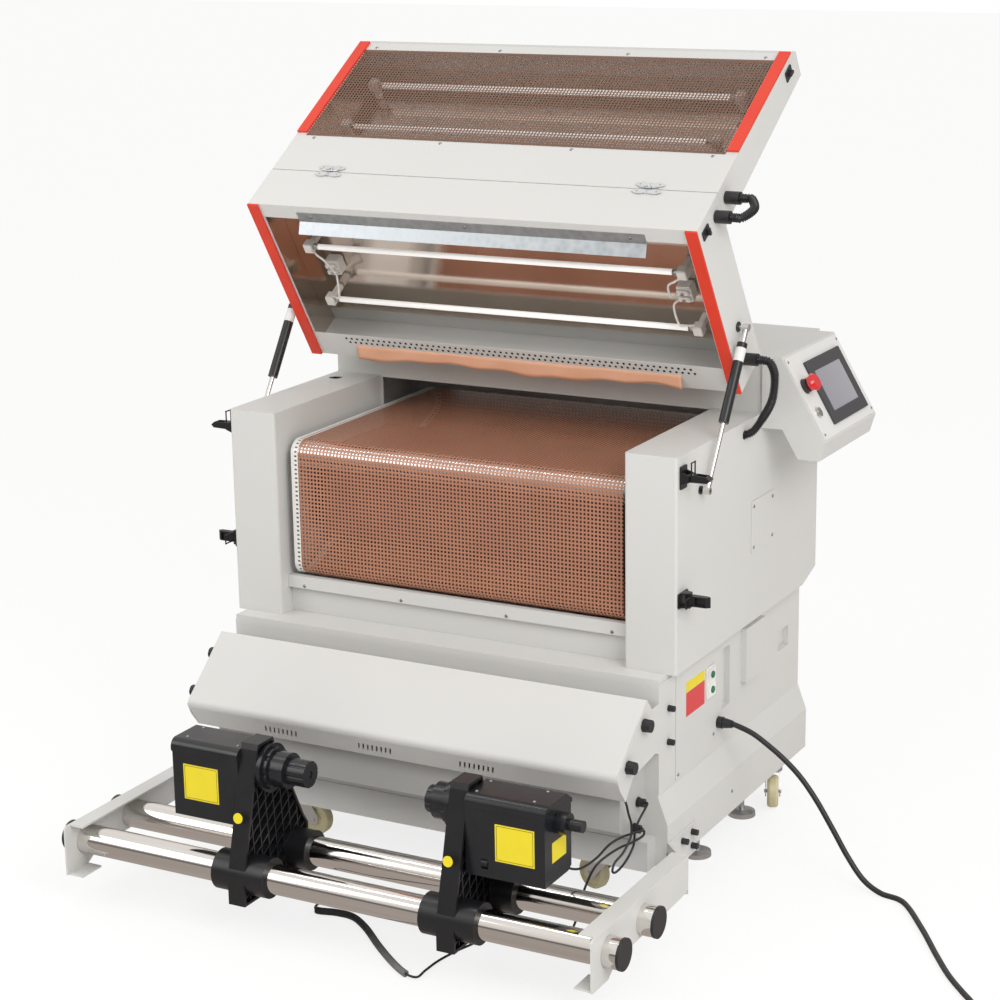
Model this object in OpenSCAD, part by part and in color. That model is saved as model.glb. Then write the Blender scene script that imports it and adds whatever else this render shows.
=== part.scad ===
/* [Cabinet] */
// Width across the upper cabinet
body_w = 1080; // [1060:2:1120]
// Depth from the cheek fronts to the back wall
body_depth = 788; // [770:2:830]
// Height of the cheek tops above the floor
cheek_top = 970; // [950:2:990]
// Height of the upper cabinet's lower edge
upper_base = 510; // [500:1:520]
// Clear width between the cheeks
throat_w = 846; // [836:2:856]
// Depth of the throat in front of the rear housing
throat_depth = 450; // [440:2:460]
// How far each side of the lower cabinet stands in from the upper one
side_step = 22; // [20:1:30]
// Sheet metal thickness of the cabinet
sheet = 2.5; // [2:0.25:3]
// Radius of the bent corners of the cabinet
corner_r = 6; // [4:0.5:8]
// Height of the base band's lower edge
band_base = 102; // [96:1:110]

/* [Lid and front door] */
// How far each side of the lid stands in from the cabinet's side
lid_inset = 3; // [2:0.5:6]
// Thickness of the lid box
lid_t = 120; // [112:1:124]
// Angle at which the gas struts hold the lid
lid_open = 57.5; // [50:0.5:60]
// Thickness of the front door box
door_t = 86; // [80:1:94]
// Length of the front door from hinge to free edge
door_len = 486.5; // [480:0.5:494]
// Thickness of the silicone seals
seal_t = 5; // [4:0.5:6]
// Width of the silicone seals
seal_w = 26; // [20:1:30]
// Diameter of the quartz heating lamps
lamp_d = 13; // [10:0.5:15]

/* [Conveyor] */
// Radius of the front belt roller
roller_r = 31; // [28:0.5:34]
// Thickness of the mesh belt
belt_t = 1; // [0.8:0.1:1.4]
// Height of the belt's top run
belt_top = 905; // [900:1:912]
// Gap between the mesh belt and each cheek
belt_gap = 18; // [13:1:33]

/* [Cooling cover] */
// Sheet thickness of the cooling cover
cover_sheet = 2; // [1.5:0.25:2.5]
// Number of vent slots in each group
slot_count = 8; // [6:1:9]

/* [Control box] */
// Length of the control box from front to back
ctrl_len = 318; // [300:2:330]
// Width of the touch panel
panel_w = 206; // [190:2:212]
// Height of the touch panel
panel_h = 150; // [140:1:156]
// Diameter of the stop button's head
stop_d = 40; // [36:1:44]
// Travel of the stop button
stop_travel = 5; // [4:0.5:6]

/* [Winder] */
// Outer diameter of the winder tubes
tube_d = 63; // [58:0.5:66]
// Distance between the winder tubes
tube_pitch = 158; // [150:1:166]
// Height of the winder tubes above the floor
tube_z = 126; // [120:1:132]
// How far each winder tube reaches past the side of the cabinet
tube_reach = 110; // [105:1:120]
// Outer diameter of the chuck's core seat
core_d = 75.6; // [74:0.1:76]
// Length of the chuck's core seat
core_len = 34; // [28:1:38]

/* [Feet and casters] */
// Diameter of a levelling foot
foot_d = 64; // [56:1:70]
// Diameter of a caster wheel
wheel_d = 75; // [70:1:78]
// Width of a caster wheel
wheel_w = 26; // [22:1:28]
// Clearance of the caster wheels above the floor
wheel_lift = 3; // [2:0.5:4]

/* [Mains lead] */
// Diameter of the mains lead
lead_d = 12; // [12:1:12]

/* [Hidden] */

// General clearances and the overrun of every cut
over = 1;
run_gap = 0.05;
seat_gap = 0.3;
deg_full = 360;
deg_half = 180;
deg_quarter = 90;

// Colours
c_shell = [0.83, 0.84, 0.81];
c_inner = [0.62, 0.63, 0.61];
c_black = [0.06, 0.06, 0.07];
c_steel = [0.75, 0.74, 0.72];
c_mirror = [0.70, 0.66, 0.61];
c_seal = [0.95, 0.22, 0.12];
c_mesh = [0.55, 0.33, 0.22];
c_flap = [0.90, 0.66, 0.53];
c_lamp = [0.95, 0.93, 0.90];
c_wheel = [0.80, 0.76, 0.62];
c_stop = [0.85, 0.08, 0.10];
c_screen = [0.30, 0.30, 0.33];

// Widths that follow the cabinet
lower_w = body_w - 2 * side_step;
cover_w = lower_w;
lid_w = body_w - 2 * lid_inset;
belt_w = throat_w - 2 * belt_gap;
tube_len = body_w + 2 * tube_reach;

// Cabinet places
lower_front = -41;
lower_back = 745;
skirt_top = 256;
band_top = 196;
band_front_cut = 34;
toe_front = -80;
toe_half = lower_w / 2 - 6;
toe_top = 168;
upper_cut_deep = 80;
upper_cut_high = 26;
back_top = cheek_top + seal_t + lid_t + over;
slot_base = 740;
slot_top = 966;
slot_half = throat_w / 2 - 6;
inlet_base = 930;
inlet_top = 990;
inlet_half = slot_half - 7;

// Belt places
belt_face = 32;
roller_y = belt_face + belt_t + seat_gap + roller_r;
roller_z = belt_top - belt_t - seat_gap - roller_r;
lower_roller_z = 628;
rear_roller_y = 640;
shaft_r = 10;
panel_y = 44;
panel_top = 596;
panel_lip = 14;

// Lid places, drawn closed and then swung open about the hinge
hinge_y = throat_depth - 2;
hinge_pin_r = 5;
hinge_z = back_top + hinge_pin_r + over;
lid_back = throat_depth - 4;
lid_low = cheek_top + seal_t + seat_gap;
lid_top = lid_low + lid_t;
lid_rim = 36;
lid_rear_rim = 66;
lid_side_rim = seal_w + 4;
lid_sheet = 2;
lamp_deep = 42;
lamp_y_front = 153;
lamp_y_back = 309;
lamp_half = lid_w / 2 - 71;
reflector_deep = 88;

// Door places, drawn unfolded on the closed lid
pin_y = -3;
seam_gap = 0.5;
seam_hinge_x = lid_w / 2 - 153;
barrel_r = 2;
hinge_half_gap = seam_gap / 2;
door_low = lid_top + seam_gap;
pin_z = lid_top + hinge_half_gap;
door_high = door_low + door_len;
door_end_t = 74;
window_low = door_low + 128;
window_high = door_low + 428;
door_lamp_low = door_low + 200;
door_lamp_high = door_low + 350;

// Cover places
cover_edge_y = -98;
cover_edge_z = 487;
cover_nose_y = -238;
cover_nose_z = 362;
cover_chin_y = -200;
cover_chin_z = 304;
fan_front = -165;
fan_half = lower_w / 2 - 28;
fan_top = 345;
fan_bend = 217;

// Control box places
ctrl_front = throat_depth - 6;
ctrl_top_x = body_w / 2 + 44;
ctrl_far_x = ctrl_top_x + 103;
ctrl_far_z = back_top - 178;
ctrl_chin_x = ctrl_far_x - 13;
ctrl_chin_z = ctrl_far_z - 42;
ctrl_keel_x = body_w / 2 + 85;
ctrl_neck_x = body_w / 2 + 49;
ctrl_neck_z = ctrl_far_z + 20;
face_run = [ctrl_far_x - ctrl_top_x, ctrl_far_z - back_top];
face_len = norm(face_run);
face_tilt = atan2(-face_run[1], face_run[0]);
face_plate_t = 2;

// Winder places
tube_front_y = -490;
tube_back_y = tube_front_y + tube_pitch;
web_x = tube_len / 2 - 30;
web_t = 4;
web_front = -558;
web_back = -115;
web_low = 96;
web_high = tube_z + tube_d / 2 + 18;
flange_w = 37;
foot_low = 66;
cap_t = 6;
tube_end = tube_len / 2 + cap_t;
chuck_y = -425;
chuck_z = 339;
arm_t = 40;
left_arm_x = 338 - body_w / 2;
right_arm_x = body_w / 2 - 252;
arm_top = 399;
clamp_w = 124;
clamp_wall = 11;
left_box_w = 162;
right_box_w = 174;

// Feet and casters
foot_x = lower_w / 2 - 46;
foot_ys = [267, 522];
caster_xs = [body_w / 2 - 162, body_w / 2 - 32];
caster_ys = [-5, 622];
fork_offset = 32;
fork_turns = [0, 160, -150, -68];
caster_places = [
    [-caster_xs[0], caster_ys[0]],
    [caster_xs[0], caster_ys[0]],
    [-caster_xs[1], caster_ys[1]],
    [caster_xs[1], caster_ys[1]]
];
wheel_z = wheel_d / 2 + wheel_lift;
axle_r = 4;
stem_r = 6;

// Mains lead places
gland_y = 271;
gland_z = 317;
gland_len = 34;

// Centre of the footprint, so that the origin is under the middle
mid_x = (ctrl_far_x - tube_end) / 2;
mid_y = (body_depth + web_front) / 2;

module place() {
    translate([-mid_x, -mid_y, 0]) children();
}

module both_sides() {
    children();
    mirror([1, 0, 0]) children();
}

// Rectangle with round corners, from its low corner
module soft_rect(w, h, r) {
    translate([r, 0]) square([w - 2 * r, h]);
    translate([0, r]) square([w, h - 2 * r]);
    for (x = [r, w - r])
        for (y = [r, h - r])
            translate([x, y]) circle(r, $fn = 32);
}

// Outline in the side view, Y across and Z up, extruded along X
module side_extrude(x0, x1) {
    translate([x0, 0, 0])
        rotate([deg_quarter, 0, deg_quarter])
            linear_extrude(x1 - x0) children();
}

module x_rod(x0, x1, r, sides = 48) {
    translate([x0, 0, 0]) rotate([0, deg_quarter, 0]) cylinder(x1 - x0, r, r, $fn = sides);
}

module y_rod(y0, y1, r, sides = 48) {
    translate([0, y1, 0]) rotate([deg_quarter, 0, 0]) cylinder(y1 - y0, r, r, $fn = sides);
}

// Cabinet

module lower_outline(inset) {
    polygon([
        [-lower_w / 2 + inset, upper_base],
        [-lower_w / 2 + inset, skirt_top],
        [-body_w / 2 + inset, band_top],
        [-body_w / 2 + inset, band_base],
        [body_w / 2 - inset, band_base],
        [body_w / 2 - inset, band_top],
        [lower_w / 2 - inset, skirt_top],
        [lower_w / 2 - inset, upper_base]
    ]);
}

module base_cabinet() {
    recess_y = 290;
    recess_z = 340;
    recess_w = 44;
    recess_h = 136;
    recess_deep = 14;
    pull_y = 615;
    pull_z = 372;
    pull_w = 64;
    pull_h = 48;
    bulge_y = 395;
    bulge_w = 114;
    bulge_z = 367;
    bulge_h = 126;
    bulge_out = 14;
    color(c_shell) place() difference() {
        union() {
            translate([0, lower_back, 0])
                rotate([deg_quarter, 0, 0])
                    linear_extrude(lower_back - lower_front) lower_outline(0);
            translate([-toe_half, toe_front, band_base])
                cube([2 * toe_half, lower_front - toe_front + over, toe_top - band_base]);
            both_sides()
                translate([lower_w / 2 - over, bulge_y, bulge_z])
                    rotate([deg_quarter, 0, deg_quarter])
                        linear_extrude(bulge_out + over) soft_rect(bulge_w, bulge_h, corner_r);
        }
        translate([0, lower_back - sheet, 0])
            rotate([deg_quarter, 0, 0])
                linear_extrude(lower_back - lower_front - 2 * sheet)
                    intersection() {
                        lower_outline(sheet);
                        translate([-body_w / 2, band_base + sheet])
                            square([body_w, upper_base - band_base - 2 * sheet]);
                    }
        both_sides() {
            translate([lower_w / 2 - recess_deep, recess_y, recess_z])
                cube([recess_deep + over, recess_w, recess_h]);
            translate([lower_w / 2 - recess_deep, pull_y, pull_z])
                cube([recess_deep + over, pull_w, pull_h]);
            translate([body_w / 2 - sheet, lower_front - over, band_base - over])
                cube([sheet + over, band_front_cut, band_front_cut]);
        }
        for (p = caster_places)
            translate([p[0], p[1], band_base - over]) cylinder(sheet + 2 * over, stem_r + run_gap, stem_r + run_gap, $fn = 32);
        for (x = [-foot_x, foot_x])
            for (y = foot_ys)
                translate([x, y, band_base - over]) cylinder(sheet + 2 * over, stem_r + run_gap, stem_r + run_gap, $fn = 32);
        translate([0, gland_y, gland_z]) x_rod(lower_w / 2 - sheet - over, lower_w / 2 + over, stem_r + 2);
    }
}

module cheek(side) {
    w = (body_w - throat_w) / 2;
    hole_y = 384;
    hole_r = 16;
    conduit_y = 350;
    conduit_z = 942;
    place() mirror([side < 0 ? 1 : 0, 0, 0]) difference() {
        translate([throat_w / 2, 0, upper_base])
            linear_extrude(cheek_top - upper_base) {
                translate([0, 0]) soft_rect(w, throat_depth / 2, corner_r);
                translate([0, throat_depth / 4]) square([w, 3 * throat_depth / 4]);
            }
        translate([throat_w / 2 + sheet, sheet, upper_base + sheet])
            cube([w - 2 * sheet, throat_depth - 2 * sheet, cheek_top - upper_base - 2 * sheet]);
        translate([0, roller_y, roller_z])
            x_rod(throat_w / 2 - over, throat_w / 2 + sheet + over, shaft_r + run_gap);
        if (side < 0)
            translate([body_w / 2 - 2 * hole_r - sheet, hole_y, cheek_top - sheet - over])
                cylinder(sheet + 2 * over, hole_r, hole_r, $fn = 32);
        if (side > 0)
            translate([0, conduit_y, conduit_z])
                x_rod(body_w / 2 - sheet - over, body_w / 2 + over, conduit_r + seat_gap);
    }
}

module left_cheek() color(c_shell) cheek(-1);
module right_cheek() color(c_shell) cheek(1);

module rear_outline(inset) {
    polygon([
        [throat_depth + inset, upper_base + inset],
        [body_depth - upper_cut_deep - inset / 2, upper_base + inset],
        [body_depth - inset, upper_base + upper_cut_high + inset],
        [body_depth - inset, back_top - inset],
        [throat_depth + inset, back_top - inset]
    ]);
}

module rear_housing() {
    rib_count = 12;
    rib_pitch = 40;
    rib_w = 6;
    rib_h = 90;
    rib_z = 640;
    guide_r = 16;
    color(c_shell) place() {
        difference() {
            side_extrude(-body_w / 2, body_w / 2) rear_outline(0);
            side_extrude(-body_w / 2 + sheet, body_w / 2 - sheet) rear_outline(sheet);
            translate([-slot_half, throat_depth - over, slot_base])
                cube([2 * slot_half, sheet + 2 * over, slot_top - slot_base]);
            translate([-inlet_half, body_depth - sheet - over, inlet_base])
                cube([2 * inlet_half, sheet + 2 * over, inlet_top - inlet_base]);
            for (i = [0 : rib_count - 1])
                translate([(i - (rib_count - 1) / 2) * rib_pitch, body_depth - sheet - over, rib_z])
                    cube([rib_w, sheet + 2 * over, rib_h]);
        }
        translate([0, body_depth - sheet - guide_r - over, inlet_base - guide_r - over])
            x_rod(-body_w / 2 + sheet, body_w / 2 - sheet, guide_r);
        both_sides() {
            translate([knuckle_x - knuckle_len / 2, hinge_y, back_top - over / 2])
                cube([knuckle_len, leaf_reach, leaf_sheet]);
            translate([0, hinge_y, hinge_z]) x_rod(knuckle_x - knuckle_len / 2, knuckle_x + knuckle_len / 2, hinge_pin_r);
        }
    }
}

// Knuckles of the lid's rear hinges: the housing's in the middle, the lid's beside them
knuckle_x = throat_w / 2 - 60;
knuckle_len = 60;
leaf_reach = 26;
leaf_sheet = 2;

module lid_knuckles() {
    low = lid_top + seat_gap;
    both_sides()
        for (s = [-1, 1]) {
            start = knuckle_x + s * (knuckle_len + seam_gap) - knuckle_len / 2;
            translate([start, hinge_y - leaf_reach, low]) cube([knuckle_len, leaf_reach, leaf_sheet]);
            translate([0, hinge_y, hinge_z]) x_rod(start, start + knuckle_len, hinge_pin_r);
        }
}

module front_panel() {
    color(c_shell) place() {
        translate([-throat_w / 2 + seat_gap, panel_y, upper_base + seat_gap])
            cube([throat_w - 2 * seat_gap, sheet, panel_top - upper_base - seat_gap]);
        translate([-throat_w / 2 + seat_gap, panel_y - panel_lip, panel_top - sheet])
            cube([throat_w - 2 * seat_gap, panel_lip + sheet, sheet]);
        translate([-throat_w / 2 + seat_gap, panel_y - panel_lip, panel_top - 2 * panel_lip])
            cube([throat_w - 2 * seat_gap, sheet, 2 * panel_lip]);
    }
}

// Conveyor

module belt_outline(r) {
    hull() {
        translate([roller_y, roller_z]) circle(r, $fn = 48);
        translate([roller_y, lower_roller_z]) circle(r, $fn = 48);
        translate([rear_roller_y, roller_z]) circle(r, $fn = 48);
    }
}

module mesh_belt() {
    color(c_mesh) place()
        side_extrude(-belt_w / 2, belt_w / 2)
            difference() {
                belt_outline(roller_r + seat_gap + belt_t);
                belt_outline(roller_r + seat_gap);
            }
}

module belt_roller() {
    color(c_steel) place() translate([0, roller_y, roller_z]) {
        x_rod(-belt_w / 2, belt_w / 2, roller_r, 64);
        x_rod(-throat_w / 2 - 4 * sheet, throat_w / 2 + 4 * sheet, shaft_r);
    }
}

// Fan box and cooling cover

module fan_box() {
    color(c_inner) place() side_extrude(-fan_half, fan_half)
        polygon([
            [lower_front, fan_top],
            [fan_front + corner_r, fan_top],
            [fan_front, fan_top - corner_r],
            [fan_front, fan_bend],
            [toe_front, toe_top + over],
            [lower_front, toe_top + over]
        ]);
}

module cover_outline(grow) {
    nose_r = 16;
    polygon(concat(
        [
            [cover_edge_y + 24, cover_edge_z - 28],
            [cover_edge_y, cover_edge_z]
        ],
        [for (a = [132 : 15 : 222])
            [cover_nose_y + nose_r + (nose_r + grow) * cos(a), cover_nose_z + (nose_r + grow) * sin(a)]],
        [[cover_chin_y - grow, cover_chin_z]],
        [
            [cover_chin_y + cover_sheet, cover_chin_z],
            [cover_nose_y + nose_r / 2 + cover_sheet, cover_nose_z - nose_r / 2],
            [cover_edge_y, cover_edge_z - 2 * cover_sheet],
            [cover_edge_y + 24 - cover_sheet, cover_edge_z - 28 - cover_sheet]
        ]
    ));
}

module end_plate_outline() {
    polygon([
        [cover_edge_y, cover_edge_z],
        [cover_edge_y + 24, cover_edge_z - 28],
        [lower_front, cover_edge_z - 28],
        [lower_front, upper_base - 10],
        [-lower_front, upper_base - 10],
        [-lower_front, skirt_top + corner_r],
        [lower_front, skirt_top + corner_r],
        [lower_front, fan_top + corner_r],
        [lower_front - 17, fan_top + 13],
        [fan_front, fan_top],
        [cover_chin_y, cover_chin_z],
        [cover_nose_y + 12, cover_nose_z - 26],
        [cover_nose_y, cover_nose_z]
    ]);
}

module cooling_cover() {
    slot_w = 4;
    slot_h = 24;
    slot_pitch = 11;
    group_xs = [-cover_w / 2 + 188, -cover_w / 2 + 423, cover_w / 2 - 368];
    face_tilt_back = 33;
    color(c_shell) place() {
        difference() {
            side_extrude(-cover_w / 2, cover_w / 2) cover_outline(0);
            for (gx = group_xs)
                for (i = [0 : slot_count - 1])
                    translate([gx + i * slot_pitch, (cover_nose_y + cover_chin_y) / 2, (cover_nose_z + cover_chin_z) / 2 - 6])
                        rotate([face_tilt_back, 0, 0])
                            rotate([0, 20, 0])
                                translate([-slot_w / 2, -slot_h, -slot_h / 2])
                                    cube([slot_w, 2 * slot_h, slot_h]);
        }
        both_sides()
            side_extrude(cover_w / 2, cover_w / 2 + cover_sheet) end_plate_outline();
    }
}

module star_knob(r, h) {
    lobes = 6;
    difference() {
        cylinder(h, r, r * 0.92, $fn = 48);
        for (i = [0 : lobes - 1])
            rotate([0, 0, i * deg_full / lobes])
                translate([r * 1.12, 0, -over]) cylinder(h + 2 * over, r / 4, r / 4, $fn = 24);
    }
}

module thumb_screws() {
    knob_r = 14;
    knob_h = 18;
    screw_r = 7;
    screw_h = 14;
    plate_x = cover_w / 2 + cover_sheet + seat_gap;
    tongue_x = body_w / 2 + web_t + seat_gap;
    color(c_black) place() both_sides() {
        for (p = [[-115, 439], [-191, 375]])
            translate([plate_x, p[0], p[1]]) rotate([0, deg_quarter, 0]) star_knob(knob_r, knob_h);
        for (p = [[6, cover_edge_z - 51], [4, fan_top + 18]])
            translate([plate_x, p[0], p[1]]) rotate([0, deg_quarter, 0]) star_knob(screw_r, screw_h);
        for (p = [[74, 141], [24, 139], [74, 110]])
            translate([tongue_x, p[0], p[1]]) rotate([0, deg_quarter, 0]) star_knob(screw_r, screw_h);
    }
}

// Control box

module control_outline(inset) {
    polygon([
        [body_w / 2 + seat_gap, back_top - inset],
        [ctrl_top_x - inset / 2, back_top - inset],
        [ctrl_far_x - inset, ctrl_far_z],
        [ctrl_chin_x - inset / 2, ctrl_chin_z + inset],
        [ctrl_keel_x, ctrl_chin_z + inset],
        [ctrl_neck_x, ctrl_neck_z + inset],
        [body_w / 2 + seat_gap, ctrl_neck_z + inset]
    ]);
}

module control_box() {
    color(c_shell) place() difference() {
        translate([0, ctrl_front + ctrl_len, 0]) rotate([deg_quarter, 0, 0]) linear_extrude(ctrl_len) control_outline(0);
        translate([0, ctrl_front + ctrl_len - sheet, 0])
            rotate([deg_quarter, 0, 0])
                linear_extrude(ctrl_len - 2 * sheet) control_outline(sheet);
        on_face() translate([panel_u, panel_v, -3 * sheet]) cube([panel_w - 8, panel_h - 8, 6 * sheet], center = true);
        on_face() translate([stop_u, stop_v, -3 * sheet]) cylinder(6 * sheet, stop_stem_r + 2, stop_stem_r + 2, $fn = 48);
        on_face() translate([key_u, key_v, -3 * sheet]) cylinder(6 * sheet, key_r + run_gap, key_r + run_gap, $fn = 48);
    }
}

// Face frame: U runs back along the box, V down the slope, W out of the face
panel_u = 183;
panel_v = 106;
stop_u = 36;
stop_v = 78;
stop_stem_r = 9;
key_u = 36;
key_v = 141;
key_r = 8;

module on_face() {
    translate([ctrl_top_x, ctrl_front, back_top])
        rotate([0, face_tilt, 0])
            rotate([0, 0, deg_quarter])
                mirror([0, 1, 0]) children();
}

module control_face() {
    collar_r = 17;
    collar_h = 9;
    ring_r = 12;
    ring_h = 5;
    margin = 5;
    color(c_shell) place() on_face() {
        difference() {
            translate([margin, margin, seat_gap]) linear_extrude(face_plate_t) soft_rect(ctrl_len - 2 * margin, face_len - 2 * margin, corner_r);
            translate([panel_u - (panel_w - 8) / 2, panel_v - (panel_h - 8) / 2, -over])
                cube([panel_w - 8, panel_h - 8, 4 * over + face_plate_t]);
            translate([stop_u, stop_v, -over]) cylinder(4 * over + face_plate_t, stop_stem_r + run_gap, stop_stem_r + run_gap, $fn = 48);
            translate([key_u, key_v, -over]) cylinder(4 * over + face_plate_t, key_r + run_gap, key_r + run_gap, $fn = 48);
        }
        translate([stop_u, stop_v, seat_gap + face_plate_t]) difference() {
            cylinder(collar_h, collar_r, collar_r * 0.9, $fn = 48);
            translate([0, 0, -over]) cylinder(collar_h + 2 * over, stop_stem_r + run_gap, stop_stem_r + run_gap, $fn = 48);
        }
        translate([key_u, key_v, seat_gap + face_plate_t]) difference() {
            cylinder(ring_h, ring_r, ring_r * 0.9, $fn = 48);
            translate([0, 0, -over]) cylinder(ring_h + 2 * over, key_r + run_gap, key_r + run_gap, $fn = 48);
        }
    }
}

module touch_panel() {
    bezel_t = 5;
    screen_w = 152;
    screen_h = 96;
    screen_deep = 1;
    back_deep = 30;
    color(c_screen) place() on_face() {
        difference() {
            translate([panel_u - panel_w / 2, panel_v - panel_h / 2, seat_gap + face_plate_t])
                linear_extrude(bezel_t) soft_rect(panel_w, panel_h, corner_r / 2);
            translate([panel_u - screen_w / 2, panel_v - screen_h / 2, seat_gap + face_plate_t + bezel_t - screen_deep])
                cube([screen_w, screen_h, screen_deep + over]);
        }
        translate([panel_u - (panel_w - 10) / 2, panel_v - (panel_h - 10) / 2, seat_gap + face_plate_t - back_deep])
            cube([panel_w - 10, panel_h - 10, back_deep]);
    }
}

module stop_button() {
    head_h = 16;
    neck = stop_travel + 1;
    collar_h = 9;
    base_w = seat_gap + face_plate_t + collar_h;
    color(c_stop) place() on_face() translate([stop_u, stop_v, 0]) {
        translate([0, 0, -8 * over]) cylinder(base_w + neck + 9 * over, stop_stem_r, stop_stem_r, $fn = 48);
        translate([0, 0, base_w + neck]) cylinder(head_h * 0.6, stop_d * 0.42, stop_d / 2, $fn = 48);
        translate([0, 0, base_w + neck + head_h * 0.6]) cylinder(head_h * 0.4, stop_d / 2, stop_d * 0.4, $fn = 48);
    }
}

module key_switch() {
    ring_h = 5;
    slot_w = 2;
    slot_l = 9;
    face_w = seat_gap + face_plate_t + ring_h + over;
    color(c_steel) place() on_face() translate([key_u, key_v, 0]) difference() {
        translate([0, 0, -8 * over]) cylinder(face_w + 8 * over, key_r, key_r, $fn = 48);
        translate([-slot_w / 2, -slot_l / 2, face_w - 2 * over]) cube([slot_w, slot_l, 3 * over]);
    }
}

// Side plates, glands and sockets

module side_plates() {
    plate_t = 1.5;
    access_y = 392;
    access_z = 668;
    access_w = 130;
    access_h = 116;
    panel_low = 262;
    panel_front = -lower_front + 4;
    panel_wide = 210;
    color(c_shell) place() {
        translate([body_w / 2 + seat_gap, access_y, access_z])
            rotate([deg_quarter, 0, deg_quarter]) linear_extrude(plate_t) soft_rect(access_w, access_h, corner_r);
        translate([lower_w / 2 + seat_gap, panel_front, panel_low])
            rotate([deg_quarter, 0, deg_quarter]) linear_extrude(plate_t)
                soft_rect(panel_wide, upper_base - panel_low - 4, corner_r / 2);
    }
}

module cable_glands() {
    nut_r = 13;
    nut_h = 12;
    dome_r = 11;
    socket_r = 9;
    socket_len = 16;
    color(c_black) place() {
        translate([lower_w / 2 + seat_gap, gland_y, gland_z]) difference() {
            union() {
                x_rod(0, nut_h, nut_r, 32);
                x_rod(nut_h, nut_h + 6, dome_r, 32);
                translate([nut_h + 6, 0, 0]) rotate([0, deg_quarter, 0]) cylinder(gland_len - nut_h - 6, dome_r, dome_r * 0.75, $fn = 32);
            }
            x_rod(-over, gland_len + over, lead_d / 2 + seat_gap, 32);
        }
        for (p = [[-80, 255], [-100, 205]])
            translate([fan_half + seat_gap, p[0], p[1]]) {
                x_rod(0, 3, socket_r + 2, 32);
                x_rod(3, socket_len, socket_r, 32);
            }
    }
}

// Winder

module winder_plates() {
    tongue_back = 96;
    tongue_low = 90;
    tongue_high = 158;
    top_y = web_front + 18;
    color(c_shell) place() both_sides() {
        difference() {
            side_extrude(web_x - web_t, web_x)
                polygon([
                    [web_front, foot_low],
                    [web_front, web_high - corner_r],
                    [web_front + corner_r, web_high],
                    [web_back, web_high],
                    [web_back, web_low + corner_r],
                    [web_back - 4 * corner_r, web_low],
                    [tube_front_y + tube_d / 2 + corner_r, web_low - corner_r],
                    [tube_front_y, foot_low]
                ]);
            for (y = [tube_front_y, tube_back_y])
                translate([0, y, tube_z]) x_rod(web_x - web_t - over, web_x + over, tube_d / 2 + seat_gap, 64);
        }
        translate([web_x - flange_w, top_y, web_high - web_t])
            cube([flange_w - web_t + over, web_back - top_y, web_t]);
        translate([web_x - flange_w - web_t, web_front + web_t, foot_low])
            cube([flange_w + over, tube_d, web_t]);
        translate([0, 0, tongue_low])
            linear_extrude(tongue_high - tongue_low)
                polygon([
                    [web_x - web_t, web_back - over],
                    [web_x, web_back - over],
                    [web_x, web_back],
                    [body_w / 2 + web_t + seat_gap, lower_front + web_t],
                    [body_w / 2 + web_t + seat_gap, tongue_back],
                    [body_w / 2 + seat_gap, tongue_back],
                    [body_w / 2 + seat_gap, lower_front],
                    [web_x - web_t, web_back - web_t]
                ]);
    }
}

module winder_tubes() {
    wall = 3;
    color(c_steel) place()
        for (y = [tube_front_y, tube_back_y])
            translate([0, y, tube_z]) {
                difference() {
                    x_rod(-tube_len / 2, tube_len / 2, tube_d / 2, 72);
                    x_rod(-tube_len / 2 - over, tube_len / 2 + over, tube_d / 2 - wall, 72);
                }
                both_sides() {
                    x_rod(tube_len / 2, tube_end, tube_d / 2 + 1, 48);
                    x_rod(tube_len / 2 - 4 * cap_t, tube_len / 2, tube_d / 2 - wall, 48);
                }
            }
}

// Side view of a take-up arm: wide at the tubes, narrow at the chuck
module arm_outline(inset) {
    clamp_r = tube_d / 2 + clamp_wall;
    polygon([
        [tube_front_y - clamp_r + inset, arm_low + inset],
        [tube_front_y - clamp_r + inset, tube_z],
        [arm_top_front + inset, arm_top - 12],
        [arm_top_front + 5 + inset, arm_top - inset],
        [arm_top_back - 5 - inset, arm_top - inset],
        [arm_top_back - inset, arm_top - 12],
        [arm_knee_y - inset, arm_knee_z],
        [tube_back_y + clamp_r - inset, tube_z + clamp_r],
        [tube_back_y + clamp_r - inset, arm_low + inset]
    ]);
}

module arm_ribs() {
    mid_y = (tube_front_y + tube_back_y) / 2;
    mid_z = (tube_z + arm_top) / 2;
    rib_len = 2 * arm_top;
    for (i = [-4 : 4])
        translate([mid_y + i * rib_pitch, mid_z]) rotate(4) square([arm_rib, rib_len], center = true);
    for (i = [-6 : 5])
        translate([mid_y, mid_z + i * rib_pitch]) rotate(32) square([rib_len, arm_rib], center = true);
}

// Arm with its clamps; the inner side, where the chuck sits, faces +X
module take_up_arm() {
    clamp_r = tube_d / 2 + clamp_wall;
    boss_r = 44;
    rib_set_back = 3;
    difference() {
        union() {
            side_extrude(-arm_t / 2, arm_t / 2) difference() {
                arm_outline(0);
                arm_outline(arm_rim);
            }
            side_extrude(-arm_rib / 2, arm_rib / 2) arm_outline(arm_rim / 2);
            side_extrude(-arm_t / 2 + rib_set_back, arm_t / 2 - rib_set_back) intersection() {
                arm_outline(arm_rim / 2);
                arm_ribs();
            }
            for (y = [tube_front_y, tube_back_y])
                translate([0, y, tube_z]) x_rod(-clamp_w / 2, clamp_w / 2, clamp_r, 64);
            translate([0, chuck_y, chuck_z]) x_rod(-arm_t / 2, arm_t / 2, boss_r, 64);
        }
        for (y = [tube_front_y, tube_back_y])
            translate([0, y, tube_z]) x_rod(-clamp_w / 2 - over, clamp_w / 2 + over, tube_d / 2 + run_gap, 72);
        translate([0, chuck_y, chuck_z]) x_rod(-arm_t, arm_t, shaft_hole_r + run_gap, 48);
    }
}

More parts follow.
